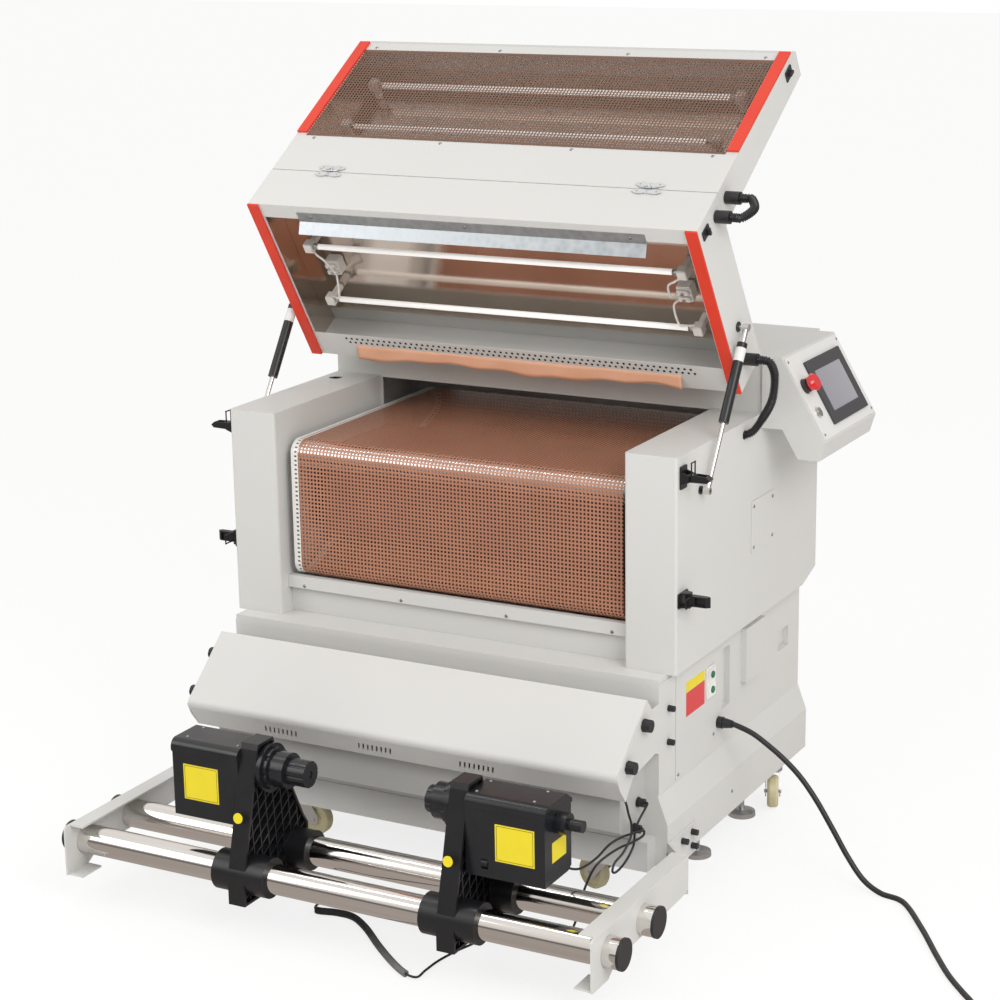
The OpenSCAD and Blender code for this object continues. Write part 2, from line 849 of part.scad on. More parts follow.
// Chuck along +X: disc, core seat and nose, each with gripping flutes
module chuck(seat_len, nose_len) {
    disc_r = 52;
    disc_len = 10;
    hub_r = 45;
    hub_len = 10;
    nose_r = 28;
    flutes = 8;
    flute_r = 3;
    start = arm_t / 2 + seat_gap;
    seat = start + disc_len + hub_len;
    nose = seat + seat_len;
    tail = 10;
    difference() {
        union() {
            x_rod(-arm_t / 2 - tail, start + over, shaft_hole_r, 48);
            x_rod(start, start + disc_len, disc_r, 64);
            x_rod(start + over, seat, hub_r, 64);
            x_rod(start + over, nose, core_d / 2, 72);
            x_rod(start + over, nose + nose_len, nose_r, 48);
        }
        for (i = [0 : flutes - 1])
            rotate([i * deg_full / flutes, 0, 0]) {
                translate([0, 0, hub_r + flute_r]) x_rod(start + disc_len + over, seat + over, 2 * flute_r, 24);
                translate([0, 0, nose_r + flute_r / 2]) x_rod(nose + 2 * over, nose + nose_len + over, flute_r, 24);
            }
        translate([nose + nose_len - 2, 0, 0]) x_rod(0, 2 + over, 8, 32);
    }
}

// Drive box beside an arm, reaching from its outer side towards -X
module drive_box(w, knob_len, switch) {
    lid_low_z = 362;
    lid_top_z = 386;
    lid_grow = 2;
    round_r = 18;
    knob_r = 12;
    clutch_r = 22;
    start = -arm_t / 2 - seat_gap;
    difference() {
        union() {
            side_extrude(start - w, start)
                polygon([
                    [box_front, box_low],
                    [box_front, lid_low_z],
                    [box_back, lid_low_z],
                    [box_back, box_low + 8],
                    [box_back - 14, box_low]
                ]);
            side_extrude(start - w - lid_grow, start) {
                polygon([
                    [box_front - lid_grow, lid_low_z - 1],
                    [box_front - lid_grow, lid_top_z - round_r],
                    [box_front - lid_grow + round_r, lid_top_z],
                    [box_back - 22, lid_top_z],
                    [box_back + lid_grow, lid_low_z + 6],
                    [box_back + lid_grow, lid_low_z - 1]
                ]);
                translate([box_front - lid_grow + round_r, lid_top_z - round_r]) circle(round_r, $fn = 48);
            }
            translate([0, chuck_y, chuck_z]) {
                x_rod(start - w - knob_len * 0.45, start - w, clutch_r, 32);
                x_rod(start - w - knob_len, start - w - knob_len * 0.45 + over, knob_r, 32);
            }
        }
        translate([0, chuck_y, chuck_z]) x_rod(start - 12, start + over, shaft_hole_r + seat_gap, 48);
        if (switch)
            translate([rocker_x - rocker_w / 2 - seat_gap, box_front - over, rocker_z - rocker_h / 2 - seat_gap])
                cube([rocker_w + 2 * seat_gap, rocker_deep + over, rocker_h + 2 * seat_gap]);
    }
}

arm_low = 70;
arm_top_front = -466;
arm_top_back = -402;
arm_knee_y = -304;
arm_knee_z = 190;
arm_rim = 6;
arm_rib = 3;
rib_pitch = 27;
shaft_hole_r = 12;
box_front = -480;
box_back = -368;
box_low = 221;
rocker_x = -62;
rocker_z = 248;
rocker_deep = 16;
rocker_w = 14;
rocker_h = 20;

module at_left_unit() {
    translate([left_arm_x, 0, 0]) children();
}

module at_right_unit() {
    translate([right_arm_x, 0, 0]) mirror([1, 0, 0]) children();
}

module left_arm() color(c_black) place() at_left_unit() take_up_arm();
module left_housing() color(c_black) place() at_left_unit() drive_box(left_box_w, 24, false);
module left_chuck() color(c_black) place() at_left_unit() translate([0, chuck_y, chuck_z]) chuck(core_len, 46);
module right_arm() color(c_black) place() at_right_unit() take_up_arm();
module right_housing() color(c_black) place() at_right_unit() drive_box(right_box_w, 56, true);
module right_chuck() color(c_black) place() translate([right_arm_x, chuck_y, chuck_z]) rotate([0, 0, deg_half]) chuck(28, 18);

module rocker_switch() {
    rock_r = 9;
    color(c_black) place() at_right_unit()
        translate([rocker_x - rocker_w / 2, box_front + rock_r - 3, rocker_z]) x_rod(0, rocker_w, rock_r, 32);
}

// Feet and casters

module levelling_feet() {
    pad_h = 10;
    disc_h = 6;
    nut_h = 8;
    nut_r = 10;
    color(c_steel) place()
        for (x = [-foot_x, foot_x])
            for (y = foot_ys)
                translate([x, y, 0]) {
                    cylinder(pad_h, foot_d / 2, foot_d / 2 - 1, $fn = 48);
                    translate([0, 0, pad_h]) cylinder(disc_h, foot_d / 2 - 1, foot_d / 4, $fn = 48);
                    cylinder(band_base + 3 * sheet, stem_r, stem_r, $fn = 32);
                    translate([0, 0, band_base - nut_h - seat_gap]) cylinder(nut_h, nut_r, nut_r, $fn = 6);
                }
}

module at_caster(i) {
    translate([caster_places[i][0], caster_places[i][1], 0])
        rotate([0, 0, fork_turns[i]]) children();
}

// Swivel fork: the wheel trails towards +X of its own frame
module caster_fork(i) {
    cheek_t = 2.5;
    cheek_gap = wheel_w / 2 + 2;
    race_r = 22;
    race_h = 8;
    crown_z = wheel_z + wheel_d / 2 + 4;
    color(c_steel) place() at_caster(i) {
        translate([0, 0, crown_z]) cylinder(band_base - crown_z - seat_gap, race_r, race_r, $fn = 48);
        translate([0, 0, crown_z]) cylinder(band_base - crown_z + 2 * sheet, stem_r, stem_r, $fn = 32);
        difference() {
            union() {
                for (s = [-1, 1])
                    translate([0, s * (cheek_gap + cheek_t / 2) + cheek_t / 2, 0])
                        rotate([deg_quarter, 0, 0]) linear_extrude(cheek_t)
                            polygon([
                                [-race_r * 0.8, crown_z + cheek_t],
                                [race_r, crown_z + cheek_t],
                                [fork_offset + 12, wheel_z + 8],
                                [fork_offset + 10, wheel_z - 10],
                                [fork_offset - 10, wheel_z - 10],
                                [-race_r * 0.8, crown_z - 10]
                            ]);
                translate([-race_r * 0.8, -cheek_gap - cheek_t, crown_z])
                    cube([race_r * 1.8, 2 * (cheek_gap + cheek_t), cheek_t]);
                translate([fork_offset, 0, wheel_z]) y_rod(-cheek_gap - 2 * cheek_t, cheek_gap + 2 * cheek_t, axle_r, 32);
            }
        }
    }
}

module caster_wheel(i) {
    hub_r = 12;
    groove = 1;
    color(c_wheel) place() at_caster(i) translate([fork_offset, 0, wheel_z]) difference() {
        rotate([deg_quarter, 0, 0])
            rotate_extrude($fn = 64)
                polygon([
                    [axle_r + run_gap, -wheel_w / 2],
                    [hub_r, -wheel_w / 2],
                    [hub_r + 3, -wheel_w / 2 + 3],
                    [wheel_d / 2 - 10, -wheel_w / 2 + 3],
                    [wheel_d / 2 - 8, -wheel_w / 2],
                    [wheel_d / 2 - 3, -wheel_w / 2 + 1],
                    [wheel_d / 2, -wheel_w / 2 + 6],
                    [wheel_d / 2, wheel_w / 2 - 6],
                    [wheel_d / 2 - 3, wheel_w / 2 - 1],
                    [wheel_d / 2 - 8, wheel_w / 2],
                    [wheel_d / 2 - 10, wheel_w / 2 - 3],
                    [hub_r + 3, wheel_w / 2 - 3],
                    [hub_r, wheel_w / 2],
                    [axle_r + run_gap, wheel_w / 2]
                ]);
    }
}

module caster_fork_fl() caster_fork(0);
module caster_fork_fr() caster_fork(1);
module caster_fork_rl() caster_fork(2);
module caster_fork_rr() caster_fork(3);
module caster_wheel_fl() caster_wheel(0);
module caster_wheel_fr() caster_wheel(1);
module caster_wheel_rl() caster_wheel(2);
module caster_wheel_rr() caster_wheel(3);

// Latches: local U towards the strike, V along the pivot, W out of the panel

latch_y = 28;
latch_high_z = 925;
latch_low_z = 668;
latch_pin_w = 15;
latch_pin_r = 2.5;
latch_half = 16;
lever_len = 48;

module at_latch(side, low) {
    mirror([side < 0 ? 1 : 0, 0, 0])
        translate([body_w / 2 + seat_gap, latch_y, low ? latch_low_z : latch_high_z])
            rotate([low ? deg_quarter : 0, 0, 0])
                rotate([0, deg_quarter, 0]) rotate([0, 0, deg_half]) children();
}

module latch_base() {
    plate_t = 3;
    ear_t = 4;
    ear_h = latch_pin_w + 5;
    translate([-24, -latch_half, 0]) linear_extrude(plate_t) soft_rect(48, 2 * latch_half, 4);
    for (s = [-1, 1])
        translate([0, s * (latch_half - ear_t / 2) + ear_t / 2, 0])
            rotate([deg_quarter, 0, 0]) linear_extrude(ear_t)
                polygon([[-14, 0], [14, 0], [7, ear_h], [-7, ear_h]]);
    translate([0, 0, latch_pin_w]) y_rod(-latch_half, latch_half, latch_pin_r, 32);
}

// Lever swung out from the panel, with its wire bail lying towards the strike
module latch_lever() {
    inner_half = latch_half - 4 - 1;
    wire_r = 1.5;
    bail_len = 26;
    difference() {
        union() {
            translate([0, inner_half, 0]) rotate([deg_quarter, 0, 0]) linear_extrude(2 * inner_half)
                polygon([
                    [-6, latch_pin_w - 6],
                    [6, latch_pin_w - 6],
                    [8, latch_pin_w + 12],
                    [7, latch_pin_w + lever_len - 8],
                    [0, latch_pin_w + lever_len],
                    [-6, latch_pin_w + lever_len - 6],
                    [-7, latch_pin_w + 8]
                ]);
        }
        translate([0, 0, latch_pin_w]) y_rod(-latch_half, latch_half, latch_pin_r + run_gap, 32);
        translate([2, -inner_half + 3, latch_pin_w + 16]) cube([8, 2 * inner_half - 6, lever_len - 26]);
    }
    for (s = [-1, 1])
        translate([7, s * (inner_half - 2), latch_pin_w + 8]) rotate([0, deg_quarter, 0]) cylinder(bail_len, wire_r, wire_r, $fn = 16);
    translate([7 + bail_len, 0, latch_pin_w + 8]) y_rod(-inner_half + 0.5, inner_half - 0.5, wire_r, 16);
}

module side_fittings() {
    color(c_black) place() {
        for (s = [-1, 1])
            for (low = [true, false]) at_latch(s, low) latch_base();
        both_sides() translate([body_w / 2 + seat_gap, strut_low[0], strut_low[1]]) {
            x_rod(0, 3, 9, 32);
            x_rod(3, strut_x - body_w / 2 - seat_gap + 7, stud_r, 32);
        }
    }
}

module latch_lever_ul() color(c_black) place() at_latch(-1, false) latch_lever();
module latch_lever_ur() color(c_black) place() at_latch(1, false) latch_lever();
module latch_lever_ll() color(c_black) place() at_latch(-1, true) latch_lever();
module latch_lever_lr() color(c_black) place() at_latch(1, true) latch_lever();

// Lid, drawn closed

module at_lid() {
    translate([0, hinge_y, hinge_z])
        rotate([-lid_open, 0, 0])
            translate([0, -hinge_y, -hinge_z]) children();
}

module lid_shell() {
    hole_rows = 2;
    hole_pitch = 15;
    hole_r = 3;
    hole_count = 52;
    color(c_shell) place() at_lid() {
        difference() {
            side_extrude(-lid_w / 2, lid_w / 2)
                polygon([
                    [0, lid_low],
                    [0, lid_top - 2],
                    [2, lid_top],
                    [lid_back - 2, lid_top],
                    [lid_back, lid_top - 2],
                    [lid_back, lid_low]
                ]);
            translate([-lid_w / 2 + lid_sheet, lid_sheet, lid_low + lid_sheet])
                cube([lid_w - 2 * lid_sheet, lid_back - 2 * lid_sheet, lid_t - 2 * lid_sheet]);
            translate([-lid_w / 2 + lid_side_rim, lid_rim, lid_low - over])
                cube([lid_w - 2 * lid_side_rim, lid_back - lid_rim - lid_rear_rim, lid_sheet + 2 * over]);
        }
        difference() {
            translate([-lid_w / 2 + lid_sheet + seat_gap, lid_rim - lid_sheet, lid_low + reflector_deep])
                cube([lid_w - 2 * lid_sheet - 2 * seat_gap, lid_back - lid_rim - lid_rear_rim + 2 * lid_sheet, 1]);
        }
    }
}

module lamp_set(y, z, lift) {
    block = 22;
    wall = 14;
    for (p = [[y[0], z[0]], [y[1], z[1]]])
        translate([0, p[0], p[1]]) {
            x_rod(-lamp_half, lamp_half, lamp_d / 2, 24);
            both_sides() translate([lamp_half - block, -block / 2, -block / 2]) cube([block, block, block]);
        }
}

module lid_lamps() {
    foot = 14;
    color(c_lamp) place() at_lid() {
        lamp_set([lamp_y_front, lamp_y_back], [lid_low + lamp_deep, lid_low + lamp_deep]);
        for (y = [lamp_y_front, lamp_y_back])
            both_sides()
                translate([lamp_half - 18, y - foot / 2, lid_low + lamp_deep + 11])
                    cube([foot, foot, reflector_deep - lamp_deep - 11 - seat_gap]);
        both_sides()
            translate([lamp_half - 50, (lamp_y_front + lamp_y_back) / 2 - 20, lid_low + reflector_deep - 30 - seat_gap])
                cube([34, 40, 30]);
    }
}

module lid_seals() {
    color(c_seal) place() at_lid() both_sides()
        translate([lid_w / 2 - seal_w, 0, lid_low - seal_t]) cube([seal_w, lid_back, seal_t - seat_gap / 2]);
}

module lid_hardware() {
    strike_z = lid_low + 30;
    leaf_w = 40;
    leaf_h = 14;
    leaf_t = 1.5;
    barrel_len = 12;
    plate_half = throat_w / 2 - 6;
    color(c_steel) place() {
        at_lid() {
            both_sides() {
                translate([lid_w / 2 + seat_gap, latch_y - 10, strike_z - 16]) cube([3, 20, 32]);
                translate([lid_w / 2 + seat_gap + 3, latch_y - 8, strike_z]) cube([8, 16, 6]);
                translate([0, strut_seat[0], strut_seat[1]]) x_rod(lid_w / 2 + seat_gap, lid_w / 2 + 3, 11, 32);
                translate([seam_hinge_x - leaf_w / 2, -leaf_t - seat_gap, pin_z - barrel_r - seam_gap - leaf_h])
                    cube([leaf_w, leaf_t, leaf_h]);
                for (start = [-leaf_w / 2, leaf_w / 2 - barrel_len]) {
                    translate([seam_hinge_x + start, -leaf_t - seat_gap, pin_z - barrel_r - seam_gap - over])
                        cube([barrel_len, leaf_t, barrel_r + seam_gap + over]);
                    translate([0, pin_y, pin_z]) x_rod(seam_hinge_x + start, seam_hinge_x + start + barrel_len, barrel_r, 24);
                }
            }
            lid_knuckles();
            translate([lid_w / 2 + seat_gap, door_plug_y, seam_plug_z]) x_rod(0, plug_len, conduit_r + 4, 32);
            translate([lid_w / 2 + seat_gap, lid_plug_y, lid_plug_z]) x_rod(0, plug_len, conduit_r + 4, 32);
            side_extrude(-plate_half, plate_half)
                polygon([
                    [17, lid_low - seat_gap],
                    [43, lid_low - seat_gap],
                    [63, lid_low - seat_gap - 20],
                    [62, lid_low - seat_gap - 21],
                    [42, lid_low - seat_gap - 1],
                    [17, lid_low - seat_gap - 1]
                ]);
        }
    }
}

module lid_flap() {
    flap_t = 1;
    flap_len = 40;
    flap_half = 405;
    lean = 12;
    color(c_flap) place() at_lid()
        translate([-flap_half, lid_back - lid_rear_rim + 30, lid_low - seat_gap])
            rotate([lid_open + lean, 0, 0])
                translate([0, -flap_t, -flap_len]) cube([2 * flap_half, flap_t, flap_len]);
}

// Door, drawn unfolded against the closed lid's front plane

module door_shell() {
    color(c_shell) place() at_lid() {
        difference() {
            side_extrude(-lid_w / 2, lid_w / 2)
                polygon([
                    [0, door_low],
                    [door_t, door_low],
                    [door_end_t, door_high],
                    [12, door_high],
                    [0, door_high - 24]
                ]);
            translate([-lid_w / 2 + lid_sheet, lid_sheet, door_low + lid_sheet])
                cube([lid_w - 2 * lid_sheet, door_end_t - 2 * lid_sheet, door_len - 24]);
            translate([-lid_w / 2 + lid_side_rim, -over, window_low])
                cube([lid_w - 2 * lid_side_rim, lid_sheet + 2 * over, window_high - window_low]);
        }
    }
}

module door_guard() {
    color(c_mesh) place() at_lid()
        translate([-lid_w / 2 + seal_w + 1, -1 - seat_gap, window_low - 8])
            cube([lid_w - 2 * seal_w - 2, 1, window_high - window_low + 16]);
}

module door_lamps() {
    foot = 14;
    color(c_lamp) place() at_lid() {
        lamp_set([lamp_deep - 8, lamp_deep - 8], [door_lamp_low, door_lamp_high]);
        for (z = [door_lamp_low, door_lamp_high])
            both_sides()
                translate([lamp_half - 18, lamp_deep - 8 + 11, z - foot / 2])
                    cube([foot, door_end_t - lid_sheet - lamp_deep - 3 - seat_gap, foot]);
    }
}

module door_seals() {
    color(c_seal) place() at_lid() both_sides()
        translate([lid_w / 2 - seal_w, -seal_t - seat_gap / 2, window_low]) cube([seal_w, seal_t, door_high - window_low - 24]);
}

module door_hardware() {
    strike_z = 2 * pin_z - latch_low_z;
    leaf_w = 40;
    leaf_h = 14;
    leaf_t = 1.5;
    barrel_len = 14;
    color(c_steel) place() at_lid() {
        both_sides() {
            translate([lid_w / 2 + seat_gap, 14, strike_z - 16]) cube([3, 24, 32]);
            translate([lid_w / 2 + seat_gap + 3, 22, strike_z - 8]) cube([8, 6, 16]);
            translate([seam_hinge_x - leaf_w / 2, -leaf_t - seat_gap, pin_z + barrel_r + seam_gap])
                cube([leaf_w, leaf_t, leaf_h]);
            translate([seam_hinge_x - barrel_len / 2, -leaf_t - seat_gap, pin_z])
                cube([barrel_len, leaf_t, barrel_r + seam_gap + over]);
            translate([0, pin_y, pin_z]) x_rod(seam_hinge_x - barrel_len / 2, seam_hinge_x + barrel_len / 2, barrel_r, 24);
        }
        translate([lid_w / 2 + seat_gap, door_plug_y, door_plug_z]) x_rod(0, plug_len, conduit_r + 4, 32);
    }
}

// Gas struts in the plane beside the body

strut_low = [116, 877];
strut_high = [314, 1182];
strut_x = body_w / 2 + 16;
stud_r = 4;
strut_dir = strut_high - strut_low;
strut_len = norm(strut_dir);
strut_angle = atan2(strut_dir[1], strut_dir[0]);
strut_seat = lid_closed(strut_high);
tube_r = 11;
rod_r = 5;
rod_show = 150;
rod_in = 42;
tube_head = 36;
bore_deep = 160;

// Where a point of the open lid lies when the lid is drawn closed
function lid_closed(p) = [
    hinge_y + (p[0] - hinge_y) * cos(lid_open) - (p[1] - hinge_z) * sin(lid_open),
    hinge_z + (p[0] - hinge_y) * sin(lid_open) + (p[1] - hinge_z) * cos(lid_open)
];

// Local U runs up the strut from the lower stud
module at_strut(side) {
    mirror([side < 0 ? 1 : 0, 0, 0])
        translate([strut_x, strut_low[0], strut_low[1]])
            rotate([strut_angle, 0, 0]) rotate([0, 0, deg_quarter]) children();
}

module strut_rod(side) {
    eye_r = 8;
    color(c_steel) place() at_strut(side) {
        difference() {
            union() {
                translate([0, 7, 0]) rotate([deg_quarter, 0, 0]) cylinder(14, eye_r, eye_r, $fn = 32);
                x_rod(eye_r / 2, 26, 6, 32);
            }
            translate([0, 8, 0]) rotate([deg_quarter, 0, 0]) cylinder(16, stud_r + run_gap, stud_r + run_gap, $fn = 32);
        }
        x_rod(26, rod_show + rod_in, rod_r, 32);
    }
}

module strut_tube(side) {
    eye_r = 8;
    head = strut_len - tube_head;
    stub = strut_x - lid_w / 2 - 3 - seat_gap;
    color(c_black) place() at_strut(side) {
        difference() {
            x_rod(rod_show, head, tube_r, 48);
            x_rod(rod_show - over, rod_show + bore_deep, rod_r + run_gap, 32);
        }
        x_rod(head, strut_len - eye_r / 2, 6, 32);
        translate([strut_len, 7, 0]) rotate([deg_quarter, 0, 0]) cylinder(14, eye_r, eye_r, $fn = 32);
        translate([strut_len, stub, 0]) rotate([deg_quarter, 0, 0]) cylinder(stub - 7 + over, stud_r, stud_r, $fn = 32);
    }
}

module strut_rod_left() strut_rod(-1);
module strut_rod_right() strut_rod(1);
module strut_tube_left() strut_tube(-1);
module strut_tube_right() strut_tube(1);

// Ribbed conduits

conduit_r = 9.5;
plug_len = 32;
door_plug_y = 36;
door_plug_z = door_low + 28;
seam_plug_z = lid_low + 88;
lid_plug_y = 390;
lid_plug_z = lid_low + 46;

// Where a point drawn on the closed lid lies when the lid is open
function lid_opened(p) = [
    p[0],
    hinge_y + (p[1] - hinge_y) * cos(lid_open) + (p[2] - hinge_z) * sin(lid_open),
    hinge_z - (p[1] - hinge_y) * sin(lid_open) + (p[2] - hinge_z) * cos(lid_open)
];

// Smooth curve through control points
function curve_at(p, t) =
    let (
        n = len(p) - 1,
        i = min(floor(t * n), n - 1),
        f = t * n - i,
        a = p[max(i - 1, 0)],
        b = p[i],
        c = p[i + 1],
        d = p[min(i + 2, n)]
    )
    0.5 * ((2 * b) + (c - a) * f + (2 * a - 5 * b + 4 * c - d) * f * f + (3 * b - a - 3 * c + d) * f * f * f);

function unit(v) = v / max(norm(v), 0.000001);

function path_dir(pts, i) = unit(pts[min(i + 1, len(pts) - 1)] - pts[max(i - 1, 0)]);

// Side vector carried along the path without twist
function carried(pts, i, v) = unit(v - (v * path_dir(pts, i)) * path_dir(pts, i));
function carry_all(pts, start) = [
    for (i = 0, v = carried(pts, 0, start); i < len(pts); i = i + 1, v = i < len(pts) ? carried(pts, i, v) : v) v
];

module sweep(pts, radii, sides, start) {
    sidev = carry_all(pts, start);
    n = len(pts);
    ring = [for (i = [0 : n - 1])
        let (t = path_dir(pts, i), u = sidev[i], w = cross(t, u))
        for (k = [0 : sides - 1])
            pts[i] + radii[i] * (u * cos(k * deg_full / sides) + w * sin(k * deg_full / sides))];
    faces = concat(
        [for (k = [1 : sides - 2]) [0, k + 1, k]],
        [for (i = [0 : n - 2]) for (k = [0 : sides - 1])
            [i * sides + k, i * sides + (k + 1) % sides, (i + 1) * sides + k]],
        [for (i = [0 : n - 2]) for (k = [0 : sides - 1])
            [i * sides + (k + 1) % sides, (i + 1) * sides + (k + 1) % sides, (i + 1) * sides + k]],
        [for (k = [1 : sides - 2]) [(n - 1) * sides, (n - 1) * sides + k, (n - 1) * sides + k + 1]]
    );
    polyhedron(points = ring, faces = [for (f = faces) [f[0], f[2], f[1]]], convexity = 8);
}

module ribbed_hose(control, ribs) {
    rings = 2 * ribs + 1;
    sides = 8;
    plain = 3;
    wall = 2;
    rib_h = 1.5;
    pts = [for (i = [0 : rings - 1]) curve_at(control, i / (rings - 1))];
    sidev = carry_all(pts, [0, 0, 1]);
    radii = [for (i = [0 : rings - 1])
        i < plain || i > rings - 1 - plain || i % 2 == 1 ? conduit_r - rib_h : conduit_r];
    outer = ring_points(pts, sidev, radii, sides);
    inner = ring_points(pts, sidev, [for (i = [0 : rings - 1]) conduit_r - rib_h - wall], sides);
    m = rings * sides;
    faces = concat(
        [for (i = [0 : rings - 2]) for (k = [0 : sides - 1])
            [i * sides + k, (i + 1) * sides + k, (i + 1) * sides + (k + 1) % sides]],
        [for (i = [0 : rings - 2]) for (k = [0 : sides - 1])
            [i * sides + k, (i + 1) * sides + (k + 1) % sides, i * sides + (k + 1) % sides]],
        [for (i = [0 : rings - 2]) for (k = [0 : sides - 1])
            [m + i * sides + k, m + (i + 1) * sides + (k + 1) % sides, m + (i + 1) * sides + k]],
        [for (i = [0 : rings - 2]) for (k = [0 : sides - 1])
            [m + i * sides + k, m + i * sides + (k + 1) % sides, m + (i + 1) * sides + (k + 1) % sides]],
        [for (k = [0 : sides - 1]) [k, (k + 1) % sides, m + (k + 1) % sides]],
        [for (k = [0 : sides - 1]) [k, m + (k + 1) % sides, m + k]],
        [for (k = [0 : sides - 1]) [m - sides + k, 2 * m - sides + (k + 1) % sides, m - sides + (k + 1) % sides]],
        [for (k = [0 : sides - 1]) [m - sides + k, 2 * m - sides + k, 2 * m - sides + (k + 1) % sides]]
    );
    polyhedron(points = concat(outer, inner), faces = faces, convexity = 8);
}

function ring_points(pts, sidev, radii, sides) = [
    for (i = [0 : len(pts) - 1])
        let (t = path_dir(pts, i), u = sidev[i], w = cross(t, u))
        for (k = [0 : sides - 1])
            pts[i] + radii[i] * (u * cos(k * deg_full / sides) + w * sin(k * deg_full / sides))
];

plug_x = lid_w / 2 + seat_gap + plug_len + seat_gap;
lid_hose_a = lid_opened([plug_x, lid_plug_y, lid_plug_z]);
lid_hose_route = [
    lid_hose_a,
    lid_hose_a + [12, 0, 0],
    lid_hose_a + [26, 2, -4],
    lid_hose_a + [33, 12, -34],
    lid_hose_a + [28, 12, -86],
    [body_w / 2 + 34, 366, 978],
    [body_w / 2 + 16, 356, 950],
    [body_w / 2 - 1, 350, 942]
];
door_hose_a = lid_opened([plug_x, door_plug_y, door_plug_z]);
door_hose_b = lid_opened([plug_x, door_plug_y, seam_plug_z]);
door_hose_route = [
    door_hose_a,
    door_hose_a + [12, 0, 0],
    door_hose_a + [25, -1, -1],
    (door_hose_a + door_hose_b) / 2 + [40, 0, 0],
    door_hose_b + [25, 1, 1],
    door_hose_b + [12, 0, 0],
    door_hose_b
];

module lid_conduit() color(c_black) place() ribbed_hose(lid_hose_route, 32);
module door_conduit() color(c_black) place() ribbed_hose(door_hose_route, 19);

// Mains lead: the free stretch, its coil and its plug

lead_exit_x = lower_w / 2 + seat_gap + gland_len - 8;
coil_out_r = 78;
coil_turns = 3.25;
coil_pitch = lead_d + 1.4;
coil_centre = [lead_exit_x + 816, -250];
coil_start = 206;
coil_steps = 24;
run_out = 0.8;
tail_len = 76;
tail_drop = 10;
lead_start = [
    [0, 271, 317],
    [12, 271, 317],
    [54, 271, 304],
    [92, 271, 282],
    [131, 270, 255],
    [168, 268, 223],
    [206, 264, 179],
    [246, 258, 123],
    [284, 252, 68],
    [322, 245, 26],
    [364, 236, 7],
    [423, 213, 7],
    [496, 112, 7],
    [561, 8, 7],
    [611, -68, 7],
    [656, -124, 7],
    [690, -164, 7],
    [718, -214, 7]
];
lead_route = concat(
    [for (p = lead_start) [lead_exit_x + p[0], p[1], p[2]]],
    [coil_point(0) + run_out * unit(coil_point(0) - coil_point(1 / coil_steps))]
);
coil_end_turn = coil_start + coil_turns * deg_full + deg_quarter;
tail_dir = [cos(coil_end_turn), sin(coil_end_turn), 0];
tail_end = coil_point(coil_turns) + tail_len * tail_dir - [0, 0, tail_drop];

module mains_cord() {
    rings = 46;
    pts = [for (i = [0 : rings]) curve_at(lead_route, i / rings)];
    color(c_black) place() sweep(pts, [for (p = pts) lead_d / 2], 8, [0, 0, 1]);
}

// The coil spirals in on the floor, climbs one lead and spirals out again
function coil_point(s) =
    let (
        half = coil_turns / 2,
        turns_in = s < half ? s : coil_turns - s,
        r = coil_out_r - turns_in * coil_pitch,
        rise = min(max((s - half + 0.25) * 2, 0), 1),
        a = coil_start + s * deg_full
    )
    [coil_centre[0] + r * cos(a), coil_centre[1] + r * sin(a), 7 + rise * (lead_d + 1.2)];

coil_count = coil_turns * coil_steps;
coil_pts = concat(
    [for (i = [0 : coil_count]) coil_point(i / coil_steps)],
    [for (f = [0.35, 0.7, 0.9, 1])
        coil_point(coil_turns) * (1 - f) + tail_end * f - [0, 0, tail_drop * f * (1 - f) * (2 * f - 1)]]
);

// Least gap between lengths of the coil that are half a turn or more apart
echo("least gap of the coil", min([
    for (i = [0 : len(coil_pts) - 1])
        for (j = [i + coil_steps / 2 : len(coil_pts) - 1])
            norm(coil_pts[i] - coil_pts[j])
]) - lead_d);

module mains_coil() {
    color(c_black) place() sweep(coil_pts, [for (p = coil_pts) lead_d / 2], 6, [0, 0, 1]);
}

module mains_plug() {
    pin_r = 2.4;
    pin_len = 19;
    pin_half = 9.5;
    color(c_black) place() translate(tail_end) rotate([0, 0, coil_end_turn]) {
        translate([seat_gap, -8, -7]) cube([14, 16, 14]);
        translate([14, -15, -8]) cube([28, 30, 16]);
        for (y = [-pin_half, pin_half]) translate([42, y, 0]) x_rod(0, pin_len, pin_r, 24);
    }
}

// Leads between the cover, the fan box and the take-up units

socket_x = fan_half + seat_gap + 16 + seat_gap;
function from_socket(route) = [for (p = route) [socket_x + p[0], p[1], p[2]]];
cover_lead_route = from_socket([
    [-7, -190, 334],
    [-2, -184, 312],
    [1, -172, 288],
    [1, -161, 262],
    [4, -154, 238],
    [6, -160, 214],
    [1, -184, 188],
    [-8, -206, 172],
    [-9, -216, 158],
    [-9, -204, 149],
    [-9, -176, 149],
    [-7, -146, 160],
    [-4, -126, 180],
    [-3, -122, 206],
    [2, -114, 230],
    [6, -82, 254],
    [0, -80, 255]
]);
unit_lead_route = from_socket([
    [0, -104, 209],
    [6, -104, 209],
    [10, -118, 211],
    [1, -146, 213],
    [-8, -170, 214],
    [-23, -200, 206],
    [-33, -245, 190],
    [-47, -290, 184],
    [-58, -332, 204],
    [-63, -346, 226],
    [-65, -358, 234],
    [-65, -367.6, 234]
]);
